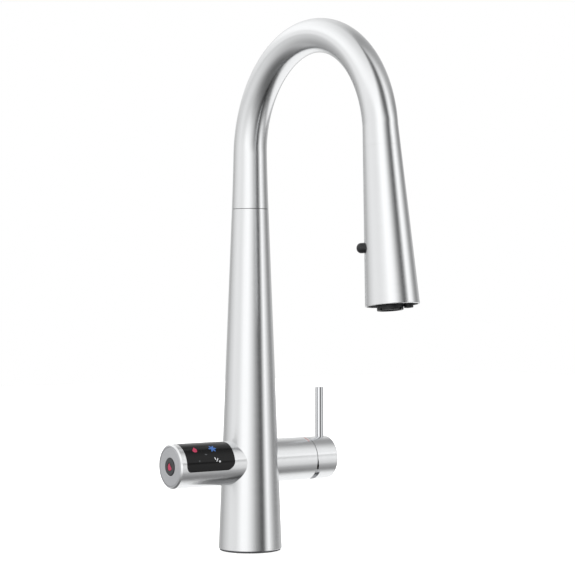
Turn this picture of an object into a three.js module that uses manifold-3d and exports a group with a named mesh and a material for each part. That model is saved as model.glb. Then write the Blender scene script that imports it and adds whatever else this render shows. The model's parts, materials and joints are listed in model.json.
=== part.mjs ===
// A kitchen tap for mixed, chilled and boiling water: a tapered column with two side arms,
// a swivelling gooseneck spout and a spray head that docks in it by a magnet.
// Millimetres. The origin is on the column's axis at the deck, +Z is up, the spout
// reaches towards -Y, the mixer arm points to +X and the control arm to -X.

import * as THREE from 'three';
import { mergeVertices } from 'three/addons/utils/BufferGeometryUtils.js';
import Module from 'manifold-3d';

const wasm = await Module();
wasm.setup();

// ---------------------------------------------------------------- driving dimensions

// fits
const gap = 0.3;              // between neighbours that don't touch
const runningGap = 0.2;       // round a piece that turns or slides in another
const hairline = 0.3;         // joint between the spout and the docked head

// column
const footRadius = 26;
const columnTaper = 0.039;    // radius lost for each mm of height
const columnWall = 3;
const swivelHeight = 279.5;   // top of the column, where the spout turns
const sealHeight = 1.2;
const edgeBreak = 0.5;        // chamfer on the column's foot
const footRingHeight = 14;
const footRingWall = 6.3;

// swivel
const swivelBore = 12.4;      // radius
const swivelBoreDepth = 34.5;
const bushWall = 1.2;
const bushLength = 27.5;
const bushFlange = 0.6;
const flangeSetBack = 0.8;    // the flange hides this far inside the seam
const spigotWall = 2.2;
const spigotRise = 20;        // how far the spigot stands up into the spout
const clipHeight = 1.2;

// spout
const spoutRadius = 13.3;
const spoutWall = 1.6;
const archStart = 325;        // height where the neck starts to bend
const archRadius = 86.5;      // of the centre line
const legLean = 6.15;         // degrees that the leg leans outwards
const legTaper = 0.0515;      // radius gained for each mm down the leg
const dockLength = 16;        // straight end of the spout over the docked head
const hoseRadius = 6.6;

// spray head
const headLength = 118;       // from the dock joint to the rim
const headTurn = 54.8;        // degrees that the head is turned in its dock
const headWall = 2;
const connectorRadius = 8.2;
const faceRecess = 0.8;
const faceThickness = 5;
const faceInset = 2.2;        // inside the rim
const outletDepth = 10;
const aeratorRadius = 9.8;
const aeratorOffset = 1.8;    // towards the button
const aeratorDrop = 3.6;      // below the rim
const insertRise = 7;         // of the aerator's insert, above the aerator's foot
const nozzleRadius = 3.45;
const nozzleOffset = 11.8;    // away from the button
const nozzleDrop = 2.4;
const sprayButtonRadius = 3.85;
const sprayButtonProud = 5.7;
const sprayButtonRise = 43.7; // above the rim
const sprayButtonTravel = 2.5;
const buttonPocketRadius = 5.4;
const buttonPocketFloor = 6.2; // from the head's axis
const connectorSocket = 34;   // depth of the connector's socket below the end of the arch

// arms
const armHeight = 72;
const armRadius = 17.9;
const controlReach = 77.2;
const controlBore = 14.6;
const controlRoot = 26;       // where the control arm's bore ends, from the column's axis
const cableRadius = 4;        // of the cable's way from the arm into the column
const endChamfer = 1.2;
const capRadius = 15.5;
const capThickness = 2.8;
const boilButtonRadius = 7;
const boilButtonTravel = 1;
const boilButtonProud = 0.5;
const buttonFlange = 1;       // thickness, and how far it stands out twice over
const lensRadius = 3.4;
const springWire = 0.3;

// touch panel
const panelStart = 26.4;      // from the column's axis
const panelMargin = 5.2;      // between the panel and the arm's end
const panelEnd = controlReach - panelMargin;
const panelTilt = 40;         // degrees above the front
const panelHalfAngle = 52;
const panelCorner = 7.5;      // towards the column
const panelCornerAcross = 5.7;
const panelEndCorner = 3.6;   // towards the arm's end, where it is tight
const glassThickness = 1.7;
const glassSetBack = 0.1;
const panelLedge = 1.6;
const boardDepth = 5.7;       // from the arm's axis to the board's face
const boardThickness = 1.6;
const boardHalfWidth = 11.5;
const trayInset = 5.5;        // from the panel's outer end
const trayWall = 2;
const wellRadius = 3;         // of the light wells under the icons
const iconInsets = [11, 28];  // of the icons, from the panel's outer end
const iconRows = [4, -6];     // across the panel

// waterway block beside the hose
const blockDrop = 22;         // below the arms' axis
const blockRise = 16;         // above it
const inletRadius = 3.6;
const inletBore = 2.2;
const inletSocket = 8;
const inletLength = 14;       // below the block
const inletSpread = 38;       // degrees between the inlets

// mixer
const mixerSeam = 55.9;       // end of the fixed housing
const mixerReach = 77;
const mixerBore = 13.2;
const mixerSeat = 26;
const portRadius = 2.8;
const portCircle = 6;
const cartridgeRadius = 12.6;
const cartridgeWall = 1.6;
const cartridgeFloor = 3;
const cartridgeTop = 44.5;    // from the column's axis
const cartridgeLip = 1.9;
const seatDiscThickness = 2.2;
const slideDiscThickness = 2.4;
const rotorNeckRadius = 9.3;
const stemPinRadius = 1.25;
const leverPivot = 52;        // from the column's axis
const leverTravel = 13;       // degrees
const handleGap = 0.5;        // between the housing and the handle
const handleBore = 15.4;
const handleBlock = 10.5;     // thickness of the handle's solid end
const stemSize = 8;
const tipSize = 4;
const leverPinAt = mixerReach - 6.5;
const leverPinRadius = 3.5;
const leverPinTop = 59.5;     // above the arm's axis
const leverPinSeat = 10.5;    // depth of its socket, above the arm's axis
const grubRadius = 2.5;
const rimNotch = 4.3;         // how far the handle's rim is cut back underneath
const notchDrop = 12;         // below the arm's axis, where the notch has its full height
const slopeDrop = 8;          // below the arm's axis, where the slanting part of the rim ends
const slopeRise = 1.9;

// facets round a turned piece
const fine = 36;
const medium = 24;
const plain = 16;
const small = 10;

const radians = THREE.MathUtils.degToRad;
const columnRadius = (z) => footRadius - columnTaper * z;
const legRadius = (drop) => spoutRadius + legTaper * drop;

// ---------------------------------------------------------------- shapes

// a closed triangle mesh as a solid that can be joined and cut
function toSolid(geometry) {
  const bare = geometry.clone();
  bare.deleteAttribute('normal');
  bare.deleteAttribute('uv');
  const merged = mergeVertices(bare, 1e-4);
  const corners = merged.index.array;
  const kept = [];
  for (let i = 0; i < corners.length; i += 3) {
    const [a, b, c] = corners.slice(i, i + 3);
    if (a !== b && b !== c && c !== a) kept.push(a, b, c);
  }
  return new wasm.Manifold(new wasm.Mesh({
    numProp: 3,
    vertProperties: new Float32Array(merged.attributes.position.array),
    triVerts: new Uint32Array(kept),
  }));
}

function toGeometry(solid) {
  const mesh = solid.getMesh();
  const geometry = new THREE.BufferGeometry();
  geometry.setAttribute('position', new THREE.BufferAttribute(mesh.vertProperties, 3));
  geometry.setIndex(new THREE.BufferAttribute(mesh.triVerts, 1));
  geometry.computeVertexNormals();
  return geometry;
}

function join(first, ...others) {
  return toGeometry(others.reduce((solid, other) => solid.add(toSolid(other)), toSolid(first)));
}

function cut(first, ...tools) {
  return toGeometry(tools.reduce((solid, tool) => solid.subtract(toSolid(tool)), toSolid(first)));
}

function common(first, second) {
  return toGeometry(toSolid(first).intersect(toSolid(second)));
}

// a profile of [radius, height] points, counter-clockwise, turned round the Z axis
function turned(profile, sides = plain) {
  const points = profile.map(([radius, height]) => new THREE.Vector2(radius, height));
  if (profile[0][0] > 0) points.push(points[0].clone());
  return new THREE.LatheGeometry(points, sides).rotateX(Math.PI / 2);
}

function rod(radius, low, high, sides = plain) {
  return turned([[0, low], [radius, low], [radius, high], [0, high]], sides);
}

function sleeve(outer, inner, low, high, sides = plain) {
  return turned([[inner, low], [outer, low], [outer, high], [inner, high]], sides);
}

function block(low, high) {
  const size = high.map((value, axis) => value - low[axis]);
  const middle = high.map((value, axis) => (value + low[axis]) / 2);
  return new THREE.BoxGeometry(...size).translate(...middle);
}

// a rod along Y instead of Z, from one value of y to another
function crossRod(radius, from, to, x, z, sides = small) {
  return rod(radius, -to, -from, sides).rotateX(Math.PI / 2).translate(x, 0, z);
}

// a rod along X, from one value of x to another
function sideRod(radius, from, to, y, z, sides = small) {
  return rod(radius, from, to, sides).rotateY(Math.PI / 2).translate(0, y, z);
}

// rings of points joined into one closed skin, the last ring back to the first
function loft(rings) {
  const around = rings[0].length;
  const positions = rings.flat().flatMap((point) => point.toArray());
  const index = [];
  for (let i = 0; i < rings.length; i += 1) {
    for (let j = 0; j < around; j += 1) {
      const here = i * around + j;
      const beside = i * around + (j + 1) % around;
      const ahead = ((i + 1) % rings.length) * around + j;
      const across = ((i + 1) % rings.length) * around + (j + 1) % around;
      index.push(here, beside, ahead, beside, across, ahead);
    }
  }
  const geometry = new THREE.BufferGeometry();
  geometry.setAttribute('position', new THREE.Float32BufferAttribute(positions, 3));
  geometry.setIndex(index);
  return geometry;
}

// a coil spring along Z from low to high
function coil(radius, low, high, turns) {
  class Helix extends THREE.Curve {
    getPoint(t, target = new THREE.Vector3()) {
      const angle = t * turns * 2 * Math.PI;
      const height = low + springWire + t * (high - low - 2 * springWire);
      return target.set(radius * Math.cos(angle), radius * Math.sin(angle), height);
    }
  }
  const section = new THREE.Shape().absarc(0, 0, springWire, 0, 2 * Math.PI);
  const extrudePath = new Helix();
  return new THREE.ExtrudeGeometry(section, { steps: turns * 8, curveSegments: 3, extrudePath });
}

// ---------------------------------------------------------------- the spout's centre line

const spoutFoot = swivelHeight + bushFlange + gap;
const archTurn = radians(180 - legLean);
const neckRise = archStart - spoutFoot;
const archLength = archRadius * archTurn;
const spoutLength = neckRise + archLength + dockLength;

// the point and direction at a distance along the centre line from the spout's foot
function spoutAt(distance) {
  const angle = THREE.MathUtils.clamp((distance - neckRise) / archRadius, 0, archTurn);
  const past = distance - neckRise;
  const straight = angle < archTurn ? Math.min(past, 0) : past - archLength;
  const along = new THREE.Vector3(0, -Math.sin(angle), Math.cos(angle));
  const bend = new THREE.Vector3(
    0,
    -archRadius * (1 - Math.cos(angle)),
    archStart + archRadius * Math.sin(angle),
  );
  return { point: bend.addScaledVector(along, straight), along };
}

// outside radius of the spout: a neck that leaves the column at the column's own taper and
// eases into an even arch, then a widening leg
const neckFlare = columnRadius(spoutFoot) - spoutRadius;
const neckLength = 2 * neckFlare / columnTaper;
function spoutRadiusAt(distance) {
  const flare = neckFlare * Math.max(1 - distance / neckLength, 0) ** 2;
  const drop = Math.max(distance - neckRise - archLength, 0);
  return legRadius(drop) + flare;
}

// a ring of points round the centre line
function spoutRing(distance, radius, sides) {
  const { point, along } = spoutAt(distance);
  const side = new THREE.Vector3(1, 0, 0);
  const normal = side.clone().cross(along);
  return Array.from({ length: sides }, (_, i) => {
    const angle = (i / sides) * 2 * Math.PI;
    const offset = normal.clone().multiplyScalar(radius * Math.cos(angle));
    return offset.addScaledVector(side, radius * Math.sin(angle)).add(point);
  });
}

// ---------------------------------------------------------------- placing

const brushedSteel = { color: 0xb9bbbd, roughness: 0.32, metalness: 1 };
const polishedSteel = { color: 0xc8cacc, roughness: 0.12, metalness: 1 };
const springSteel = { color: 0x9a9c9e, roughness: 0.4, metalness: 1 };
const rawBrass = { color: 0xb08d57, roughness: 0.45, metalness: 1 };
const blackRubber = { color: 0x1c1c1c, roughness: 0.8, metalness: 0 };
const blackPlastic = { color: 0x2a2b2c, roughness: 0.5, metalness: 0 };
const greyPlastic = { color: 0x4a4c4e, roughness: 0.5, metalness: 0 };
const whitePlastic = { color: 0xe4e4e0, roughness: 0.5, metalness: 0 };
const blackGlass = { color: 0x141414, roughness: 0.08, metalness: 0 };
const redLens = { color: 0xb02a3c, roughness: 0.3, metalness: 0 };
const boardGreen = { color: 0x1f4a34, roughness: 0.6, metalness: 0 };
const ceramic = { color: 0xe9e4da, roughness: 0.35, metalness: 0 };
const magnetGrey = { color: 0x5b5d60, roughness: 0.4, metalness: 0.6 };
const braidedSteel = { color: 0x8d9092, roughness: 0.5, metalness: 0.8 };

const tap = new THREE.Group();

// along each arm, local Z points outwards and local X up
const mixerArm = new THREE.Group();
mixerArm.position.set(0, 0, armHeight);
mixerArm.rotation.set(0, Math.PI / 2, Math.PI);
const controlArm = new THREE.Group();
controlArm.position.set(0, 0, armHeight);
controlArm.rotation.set(0, -Math.PI / 2, 0);

// down the leg, local -Z runs from the end of the arch to the rim
const leg = new THREE.Group();
leg.position.copy(spoutAt(neckRise + archLength).point);
leg.rotation.set(-radians(legLean), 0, 0);
const head = new THREE.Group();
head.rotation.set(0, 0, radians(headTurn));
leg.add(head);
tap.add(mixerArm, controlArm, leg);

function place(name, geometry, finish, parent = tap) {
  const mesh = new THREE.Mesh(toGeometry(toSolid(geometry)), new THREE.MeshStandardMaterial(finish));
  mesh.name = name;
  parent.add(mesh);
}

// ---------------------------------------------------------------- column

const footBore = columnRadius(footRingHeight) - columnWall + 0.2;
const footRingRadius = footBore - gap;
const footOpening = footRingRadius - footRingWall;
const swivelBoreFloor = swivelHeight - swivelBoreDepth;
const footBoreTop = sealHeight + footRingHeight + gap;

// a shape given in the panel's own axes: along the arm, across the panel, out from the arm's axis
function onPanel(geometry) {
  const outward = new THREE.Vector3(Math.sin(radians(panelTilt)), -Math.cos(radians(panelTilt)), 0);
  const armAxis = new THREE.Vector3(0, 0, 1);
  const across = outward.clone().cross(armAxis);
  return geometry.applyMatrix4(new THREE.Matrix4().makeBasis(armAxis, across, outward));
}

// the panel's outline, as a bar square to the panel's face; inset moves every side inwards
function panelBar(inset, from, to) {
  const [start, end] = [panelStart + inset, panelEnd - inset];
  const half = armRadius * Math.sin(radians(panelHalfAngle)) - inset;
  const [along, across] = [panelCorner - inset, panelCornerAcross - inset];
  const tight = panelEndCorner - inset;
  const outline = new THREE.Shape();
  outline.moveTo(start + along, -half);
  outline.absellipse(end - tight, -half + tight, tight, tight, -Math.PI / 2, 0);
  outline.absellipse(end - tight, half - tight, tight, tight, 0, Math.PI / 2);
  outline.absellipse(start + along, half - across, along, across, Math.PI / 2, Math.PI);
  outline.absellipse(start + along, -half + across, along, across, Math.PI, 1.5 * Math.PI);
  const depth = to - from;
  const bar = new THREE.ExtrudeGeometry(outline, { depth, curveSegments: 5, bevelEnabled: false });
  return onPanel(bar.translate(0, 0, from));
}

const portRoot = columnRadius(armHeight) - 2 * columnWall;
const cartridgeFoot = mixerSeat + 1 + 2 * runningGap;

// three water ways through the mixer's seat, round the arm's axis
function ports(low = portRoot, high = cartridgeTop) {
  return [90, 210, 330].map((degrees) => {
    const angle = radians(degrees);
    const [x, y] = [portCircle * Math.cos(angle), portCircle * Math.sin(angle)];
    return rod(portRadius, low, high, small).translate(x, y, 0);
  });
}

function bodyColumn() {
  const foot = sealHeight + edgeBreak;
  const inside = (z) => columnRadius(z) - columnWall;
  const cone = turned([
    [0, sealHeight],
    [columnRadius(foot) - edgeBreak, sealHeight],
    [columnRadius(foot), foot],
    [columnRadius(swivelHeight), swivelHeight],
    [0, swivelHeight],
  ], fine);
  const cavity = turned([
    [0, 0],
    [footBore, 0],
    [footBore, footBoreTop],
    [inside(footBoreTop), footBoreTop],
    [inside(swivelBoreFloor), swivelBoreFloor],
    [swivelBore, swivelBoreFloor],
    [swivelBore, swivelHeight + 1],
    [0, swivelHeight + 1],
  ], medium);

  controlArm.updateMatrix();
  mixerArm.updateMatrix();
  const control = turned([
    [0, 0],
    [armRadius, 0],
    [armRadius, controlReach - endChamfer],
    [armRadius - endChamfer, controlReach],
    [0, controlReach],
  ], fine);
  const capSeat = controlReach - capThickness - gap;
  const controlHollow = turned([
    [0, controlRoot],
    [controlBore, controlRoot],
    [controlBore, capSeat],
    [capRadius + gap, capSeat],
    [capRadius + gap, controlReach + 1],
    [0, controlReach + 1],
  ], medium);
  const cableWay = rod(cableRadius, portRoot, controlRoot + 1, small);
  const ledgeRadius = armRadius - glassSetBack - glassThickness - gap;
  const rim = sleeve(armRadius + 4, ledgeRadius, 0, controlReach, fine);
  const rebate = common(panelBar(0, 0, armRadius + 2), rim);
  const window = panelBar(panelLedge, 2, armRadius + 2);
  const inControl = [controlHollow, cableWay, rebate, window].map((g) => g.applyMatrix4(controlArm.matrix));

  const mixer = rod(armRadius, 0, mixerSeam, fine);
  const mixerHollow = rod(mixerBore, mixerSeat, mixerSeam + 1, medium);
  const inMixer = [mixerHollow, ...ports(portRoot, mixerSeat + 1)];
  inMixer.forEach((g) => g.applyMatrix4(mixerArm.matrix));

  const arms = [control.applyMatrix4(controlArm.matrix), mixer.applyMatrix4(mixerArm.matrix)];
  return cut(join(cone, ...arms), cavity, ...inControl, ...inMixer);
}

function columnPieces() {
  const ringTop = sealHeight + footRingHeight;
  place('body_column', bodyColumn(), brushedSteel);
  place('base_seal', sleeve(footRadius - 0.9, footOpening + 0.5, 0, sealHeight, medium), blackRubber);
  place('foot_ring', turned([
    [footOpening + 1, sealHeight],
    [footRingRadius, sealHeight],
    [footRingRadius, ringTop],
    [footOpening + 1, ringTop],
    [footOpening, ringTop - 1],
    [footOpening, sealHeight + 1],
  ], plain), rawBrass);
}

// brass block beside the hose that joins the supplies to the mixer's seat
function waterway() {
  const [low, high] = [armHeight - blockDrop, armHeight + blockRise];
  const radius = columnRadius(high) - columnWall - gap;
  const nearest = hoseRadius + 1.6;
  const halfRing = cut(
    sleeve(radius, nearest, low, high, plain),
    block([-radius - 1, -radius - 1, low - 1], [2, radius + 1, high + 1]),
  );
  const inward = ports(nearest + 2, radius + 2).map((g) => g.applyMatrix4(mixerArm.matrix));
  const centre = (nearest + radius) / 2;
  const names = ['cold_inlet', 'mixed_outlet', 'hot_inlet'];
  const places = [-inletSpread, 0, inletSpread].map((degrees) => {
    const angle = radians(degrees);
    return [centre * Math.cos(angle), centre * Math.sin(angle)];
  });
  const drilled = (radius, from, to) => (
    places.map(([x, y]) => rod(radius, from, to, small).translate(x, y, 0))
  );
  const sockets = drilled(inletRadius + gap, low - 1, low + inletSocket);
  const risers = drilled(inletBore, low + inletSocket - 1, armHeight);
  place('waterway_block', cut(halfRing, ...inward, ...sockets, ...risers), rawBrass);
  places.forEach(([x, y], i) => {
    const nipple = turned([
      [inletBore, low - inletLength],
      [inletRadius - 0.4, low - inletLength],
      [inletRadius, low - inletLength + 1],
      [inletRadius, low + inletSocket - gap],
      [inletBore, low + inletSocket - gap],
    ], small);
    place(names[i], nipple.translate(x, y, 0), rawBrass);
  });
}

// ---------------------------------------------------------------- control arm

function controlPieces() {
  const glassOut = armRadius - glassSetBack;
  const glass = sleeve(glassOut, glassOut - glassThickness, panelStart, panelEnd, fine);
  place('touch_panel', common(panelBar(gap, 0, armRadius + 2), glass), blackGlass, controlArm);

  const guideRadius = glassOut - glassThickness - gap;
  const guideFace = boardDepth + gap;
  const inGlass = rod(guideRadius, 0, controlReach, medium);
  const guideBody = common(panelBar(panelLedge + gap, guideFace, armRadius), inGlass);
  const wells = iconInsets.map((inset) => panelEnd - inset).flatMap((along) => iconRows.map((across) => (
    onPanel(rod(wellRadius, guideFace - 1, armRadius, small).translate(along, across, 0))
  )));
  place('light_guide', cut(guideBody, ...wells), whitePlastic, controlArm);

  const [boardStart, boardEnd] = [controlRoot + 3, panelEnd - trayInset - 1.5];
  const board = block(
    [boardStart, -boardHalfWidth, boardDepth - boardThickness],
    [boardEnd, boardHalfWidth, boardDepth],
  );
  place('touch_board', onPanel(board), boardGreen, controlArm);

  // the tray under the board, closed at both ends
  const trayTop = boardDepth - boardThickness - gap;
  const [trayStart, trayEnd] = [controlRoot + gap, panelEnd - trayInset];
  const trayRadius = controlBore - gap;
  const above = onPanel(block([trayStart - 1, -armRadius, trayTop], [trayEnd + 1, armRadius, armRadius]));
  const hollow = rod(trayRadius - trayWall, trayStart + trayWall, trayEnd - trayWall, plain);
  const cableSlot = rod(cableRadius + runningGap, trayStart - 1, trayStart + trayWall + 1, small);
  const tray = cut(rod(trayRadius, trayStart, trayEnd, medium), above, hollow, cableSlot);
  place('control_tray', tray, blackPlastic, controlArm);

  const switchFoot = trayEnd + gap;
  const switchBoardTop = switchFoot + 1.2;
  const past = switchBoardTop + 1;
  const aboveBoard = onPanel(block([trayEnd, -armRadius, boardDepth], [past, armRadius, armRadius]));
  const switchBoard = cut(rod(controlBore - gap, switchFoot, switchBoardTop, medium), aboveBoard);
  place('switch_board', switchBoard, boardGreen, controlArm);

  const capInner = controlReach - capThickness;
  const flangeTop = capInner - gap;
  const flangeFoot = flangeTop - buttonFlange;
  const bossFoot = flangeFoot - 0.8;
  const switchTop = bossFoot - boilButtonTravel - runningGap;
  place('boil_switch', turned([
    [0, switchBoardTop],
    [3, switchBoardTop],
    [3, switchTop - 0.8],
    [1.6, switchTop - 0.8],
    [1.6, switchTop],
    [0, switchTop],
  ], small), greyPlastic, controlArm);
  const boilSpring = coil(4.6, switchBoardTop + 0.1, flangeFoot - 0.1, 3);
  place('boil_button_spring', boilSpring, springSteel, controlArm);

  const cap = turned([
    [boilButtonRadius + runningGap, capInner],
    [capRadius, capInner],
    [capRadius, controlReach - 0.3],
    [capRadius - 0.3, controlReach],
    [boilButtonRadius + runningGap + 0.3, controlReach],
    [boilButtonRadius + runningGap, controlReach - 0.3],
  ], medium);
  place('end_cap', cap, brushedSteel, controlArm);

  const face = controlReach + boilButtonProud;
  const flangeRadius = boilButtonRadius + 2 * buttonFlange;
  const lensSeat = face - 1.5;
  const button = turned([
    [0, bossFoot],
    [2.4, bossFoot],
    [2.4, flangeFoot],
    [flangeRadius, flangeFoot],
    [flangeRadius, flangeTop],
    [boilButtonRadius, flangeTop],
    [boilButtonRadius, face - 0.4],
    [boilButtonRadius - 0.5, face],
    [lensRadius + runningGap, face],
    [lensRadius + runningGap, lensSeat],
    [0, lensSeat],
  ], plain);
  place('boil_button', button, greyPlastic, controlArm);
  place('boil_button_lens', rod(lensRadius, lensSeat + 0.1, face - 0.1, plain), redLens, controlArm);
}

// ---------------------------------------------------------------- mixer

function mixerPieces() {
  const floorTop = cartridgeFoot + cartridgeFloor;
  const shellBore = cartridgeRadius - cartridgeWall;
  const lipFoot = cartridgeTop - cartridgeLip;
  const seal = rod(cartridgeRadius - 0.5, mixerSeat + runningGap, cartridgeFoot - runningGap);
  place('cartridge_seal', cut(seal, ...ports()), blackRubber, mixerArm);
  const shell = turned([
    [0, cartridgeFoot],
    [cartridgeRadius, cartridgeFoot],
    [cartridgeRadius, cartridgeTop],
    [rotorNeckRadius + gap, cartridgeTop],
    [rotorNeckRadius + gap, lipFoot],
    [shellBore, lipFoot],
    [shellBore, floorTop],
    [0, floorTop],
  ], plain);
  place('cartridge_shell', cut(shell, ...ports(portRoot, floorTop + 1)), whitePlastic, mixerArm);

  const seatDiscFoot = floorTop + gap;
  const seatDiscTop = seatDiscFoot + seatDiscThickness;
  const slideDiscFoot = seatDiscTop + gap;
  const slideDiscTop = slideDiscFoot + slideDiscThickness;
  const pocketFloor = slideDiscTop - 1.7;
  const tipEnd = pocketFloor + 0.5;
  const seatDisc = rod(shellBore - gap, seatDiscFoot, seatDiscTop);
  place('ceramic_seat_disc', cut(seatDisc, ...ports()), ceramic, mixerArm);
  const pocketHalf = tipSize / 2 + 0.6;
  const pocket = block([-pocketHalf, -pocketHalf, pocketFloor], [pocketHalf, pocketHalf, slideDiscTop + 1]);
  const tipTravel = (leverPivot - tipEnd) * Math.sin(radians(leverTravel));
  const slideDiscRadius = shellBore - gap - tipTravel;
  const slideDisc = rod(slideDiscRadius, slideDiscFoot, slideDiscTop);
  place('ceramic_slide_disc', cut(slideDisc, pocket), ceramic, mixerArm);

  const rotorFoot = slideDiscTop + gap;
  const rotorShoulder = lipFoot - gap;
  const rotorTop = mixerSeam + 1;
  const slotHalf = stemSize / 2 + 2.4;
  const slotSide = stemSize / 2 + gap;
  const pinEnd = rotorNeckRadius - 0.6;
  const rotor = turned([
    [0, rotorFoot],
    [shellBore - gap, rotorFoot],
    [shellBore - gap, rotorShoulder],
    [rotorNeckRadius, rotorShoulder],
    [rotorNeckRadius, rotorTop],
    [0, rotorTop],
  ], plain);
  const slot = block([-slotHalf, -slotSide, rotorFoot - 1], [slotHalf, slotSide, rotorTop + 1]);
  const pinHole = crossRod(stemPinRadius + gap, -shellBore, shellBore, 0, leverPivot);
  place('cartridge_rotor', cut(rotor, slot, pinHole), whitePlastic, mixerArm);
  place('stem_pin', crossRod(stemPinRadius, -pinEnd, pinEnd, 0, leverPivot), polishedSteel, mixerArm);

  const stemFoot = rotorFoot + 6;
  const socketFloor = mixerReach - 3.8;
  const stemTop = socketFloor - 0.7;
  const half = stemSize / 2;
  const tipHalf = tipSize / 2;
  const stem = join(
    block([-half, -half, stemFoot], [half, half, stemTop]),
    block([-tipHalf, -tipHalf, tipEnd], [tipHalf, tipHalf, stemFoot + 1]),
  );
  place('lever_stem', cut(stem, pinHole), polishedSteel, mixerArm);

  const nutTop = mixerSeam - 1.4;
  const nutNotch = block([-mixerBore, -1.5, nutTop - 2.5], [mixerBore, 1.5, nutTop + 1]);
  const nut = sleeve(mixerBore - gap, rotorNeckRadius + gap, cartridgeTop + gap, nutTop, plain);
  place('cartridge_nut', cut(nut, nutNotch), rawBrass, mixerArm);

  // the handle's rim is cut back underneath, so that it can tip without meeting the housing
  const rimFoot = mixerSeam + handleGap;
  const hollowEnd = mixerReach - handleBlock;
  const cap = turned([
    [0, hollowEnd],
    [handleBore, hollowEnd],
    [handleBore, rimFoot],
    [armRadius, rimFoot],
    [armRadius, mixerReach - 1],
    [armRadius - 0.3, mixerReach - 0.3],
    [armRadius - 1, mixerReach],
    [0, mixerReach],
  ], fine);
  const rimCut = new THREE.Shape();
  rimCut.moveTo(1, rimFoot - 1);
  rimCut.lineTo(1, rimFoot);
  rimCut.lineTo(-slopeDrop, rimFoot + slopeRise);
  const bend = -0.6 * slopeDrop - 0.4 * notchDrop;
  rimCut.quadraticCurveTo(bend, rimFoot + rimNotch, -notchDrop, rimFoot + rimNotch);
  rimCut.lineTo(-armRadius - 1, rimFoot + rimNotch);
  rimCut.lineTo(-armRadius - 1, rimFoot - 1);
  const depth = 2 * armRadius + 2;
  const rimTool = new THREE.ExtrudeGeometry(rimCut, { depth, curveSegments: 5, bevelEnabled: false })
    .translate(0, 0, -depth / 2)
    .rotateX(Math.PI / 2);
  const socketHalf = half + gap;
  const cheek = [-socketHalf, -socketHalf, hollowEnd - 1];
  const socket = block(cheek, [socketHalf, socketHalf, socketFloor]);
  const pinSeat = sideRod(leverPinRadius + gap, leverPinSeat, armRadius + 2, 0, leverPinAt);
  const grubHole = sideRod(grubRadius + gap, -armRadius - 2, -socketHalf + 1, 0, leverPinAt);
  place('handle_cap', cut(cap, rimTool, socket, pinSeat, grubHole), brushedSteel, mixerArm);

  const pin = turned([
    [0, leverPinSeat + gap],
    [leverPinRadius, leverPinSeat + gap],
    [leverPinRadius, leverPinTop - 0.4],
    [leverPinRadius - 0.4, leverPinTop],
    [0, leverPinTop],
  ], plain).rotateY(Math.PI / 2).translate(0, 0, leverPinAt);
  place('lever_pin', pin, polishedSteel, mixerArm);

  const grubFoot = -half - 6.4;
  const hexagon = new THREE.CylinderGeometry(1.45, 1.45, 3, 6).rotateZ(Math.PI / 2);
  const grub = sideRod(grubRadius, grubFoot, -half - gap, 0, leverPinAt);
  place('grub_screw', cut(grub, hexagon.translate(grubFoot, 0, leverPinAt)), springSteel, mixerArm);
  const plug = sideRod(grubRadius, -armRadius + 0.4, -armRadius + 4.4, 0, leverPinAt);
  place('grub_plug', plug, greyPlastic, mixerArm);
}

// ---------------------------------------------------------------- swivel and spout

function swivelPieces() {
  const bushOut = swivelBore - runningGap;
  const bushIn = bushOut - bushWall;
  const bushFoot = swivelHeight - bushLength;
  const flangeRadius = columnRadius(swivelHeight) - flangeSetBack;
  place('swivel_bush', turned([
    [bushIn, bushFoot],
    [bushOut, bushFoot],
    [bushOut, swivelHeight],
    [flangeRadius, swivelHeight],
    [flangeRadius, swivelHeight + bushFlange],
    [bushIn, swivelHeight + bushFlange],
  ], medium), blackPlastic);

  const spigotOut = bushIn - runningGap;
  const spigotIn = spigotOut - spigotWall;
  const clipTop = bushFoot - gap;
  const clipFoot = clipTop - clipHeight;
  const spigotFoot = clipFoot - 4;
  const groove = spigotOut - 1;
  place('swivel_spigot', turned([
    [spigotIn, spigotFoot],
    [spigotOut, spigotFoot],
    [spigotOut, clipFoot - runningGap],
    [groove, clipFoot - runningGap],
    [groove, clipTop + runningGap],
    [spigotOut, clipTop + runningGap],
    [spigotOut, spoutFoot + spigotRise],
    [spigotIn, spoutFoot + spigotRise],
  ], plain), rawBrass);

  const open = radians(24);
  const [clipIn, clipOut] = [groove + runningGap, swivelBore - gap];
  const clip = new THREE.Shape();
  clip.absarc(0, 0, clipOut, open, 2 * Math.PI - open);
  clip.absarc(0, 0, clipIn, 2 * Math.PI - open, open, true);
  const depth = clipHeight;
  const ring = new THREE.ExtrudeGeometry(clip, { depth, curveSegments: 16, bevelEnabled: false });
  place('swivel_clip', ring.translate(0, 0, clipFoot), springSteel);
  return spigotOut;
}

function gooseneck(spigotOut) {
  const sides = medium;
  const end = spoutLength - hairline / 2;
  const boreAt = (distance) => (distance < spigotRise + 2 ? spigotOut + gap : spoutRadius - spoutWall);
  const bendEnd = neckRise + archLength;
  const between = (from, to, steps) => (
    Array.from({ length: steps + 1 }, (_, i) => from + (i / steps) * (to - from))
  );
  const outerStops = [...between(0, neckRise, 3), ...between(neckRise, bendEnd, 20).slice(1), end];
  const innerStops = [end, ...between(bendEnd, neckRise, 12), spigotRise + 4, spigotRise, 0];
  return loft([
    ...outerStops.map((distance) => spoutRing(distance, spoutRadiusAt(distance), sides)),
    ...innerStops.map((distance) => spoutRing(distance, boreAt(distance), sides)),
  ]);
}

// the hose from the foot of the column to the head's connector, on the spout's centre line
class HoseLine extends THREE.Curve {
  getPoint(t, target = new THREE.Vector3()) {
    const start = sealHeight + 0.4 - spoutFoot;
    const end = spoutLength - dockLength + 3.7;
    return target.copy(spoutAt(start + t * (end - start)).point);
  }
}

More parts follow.
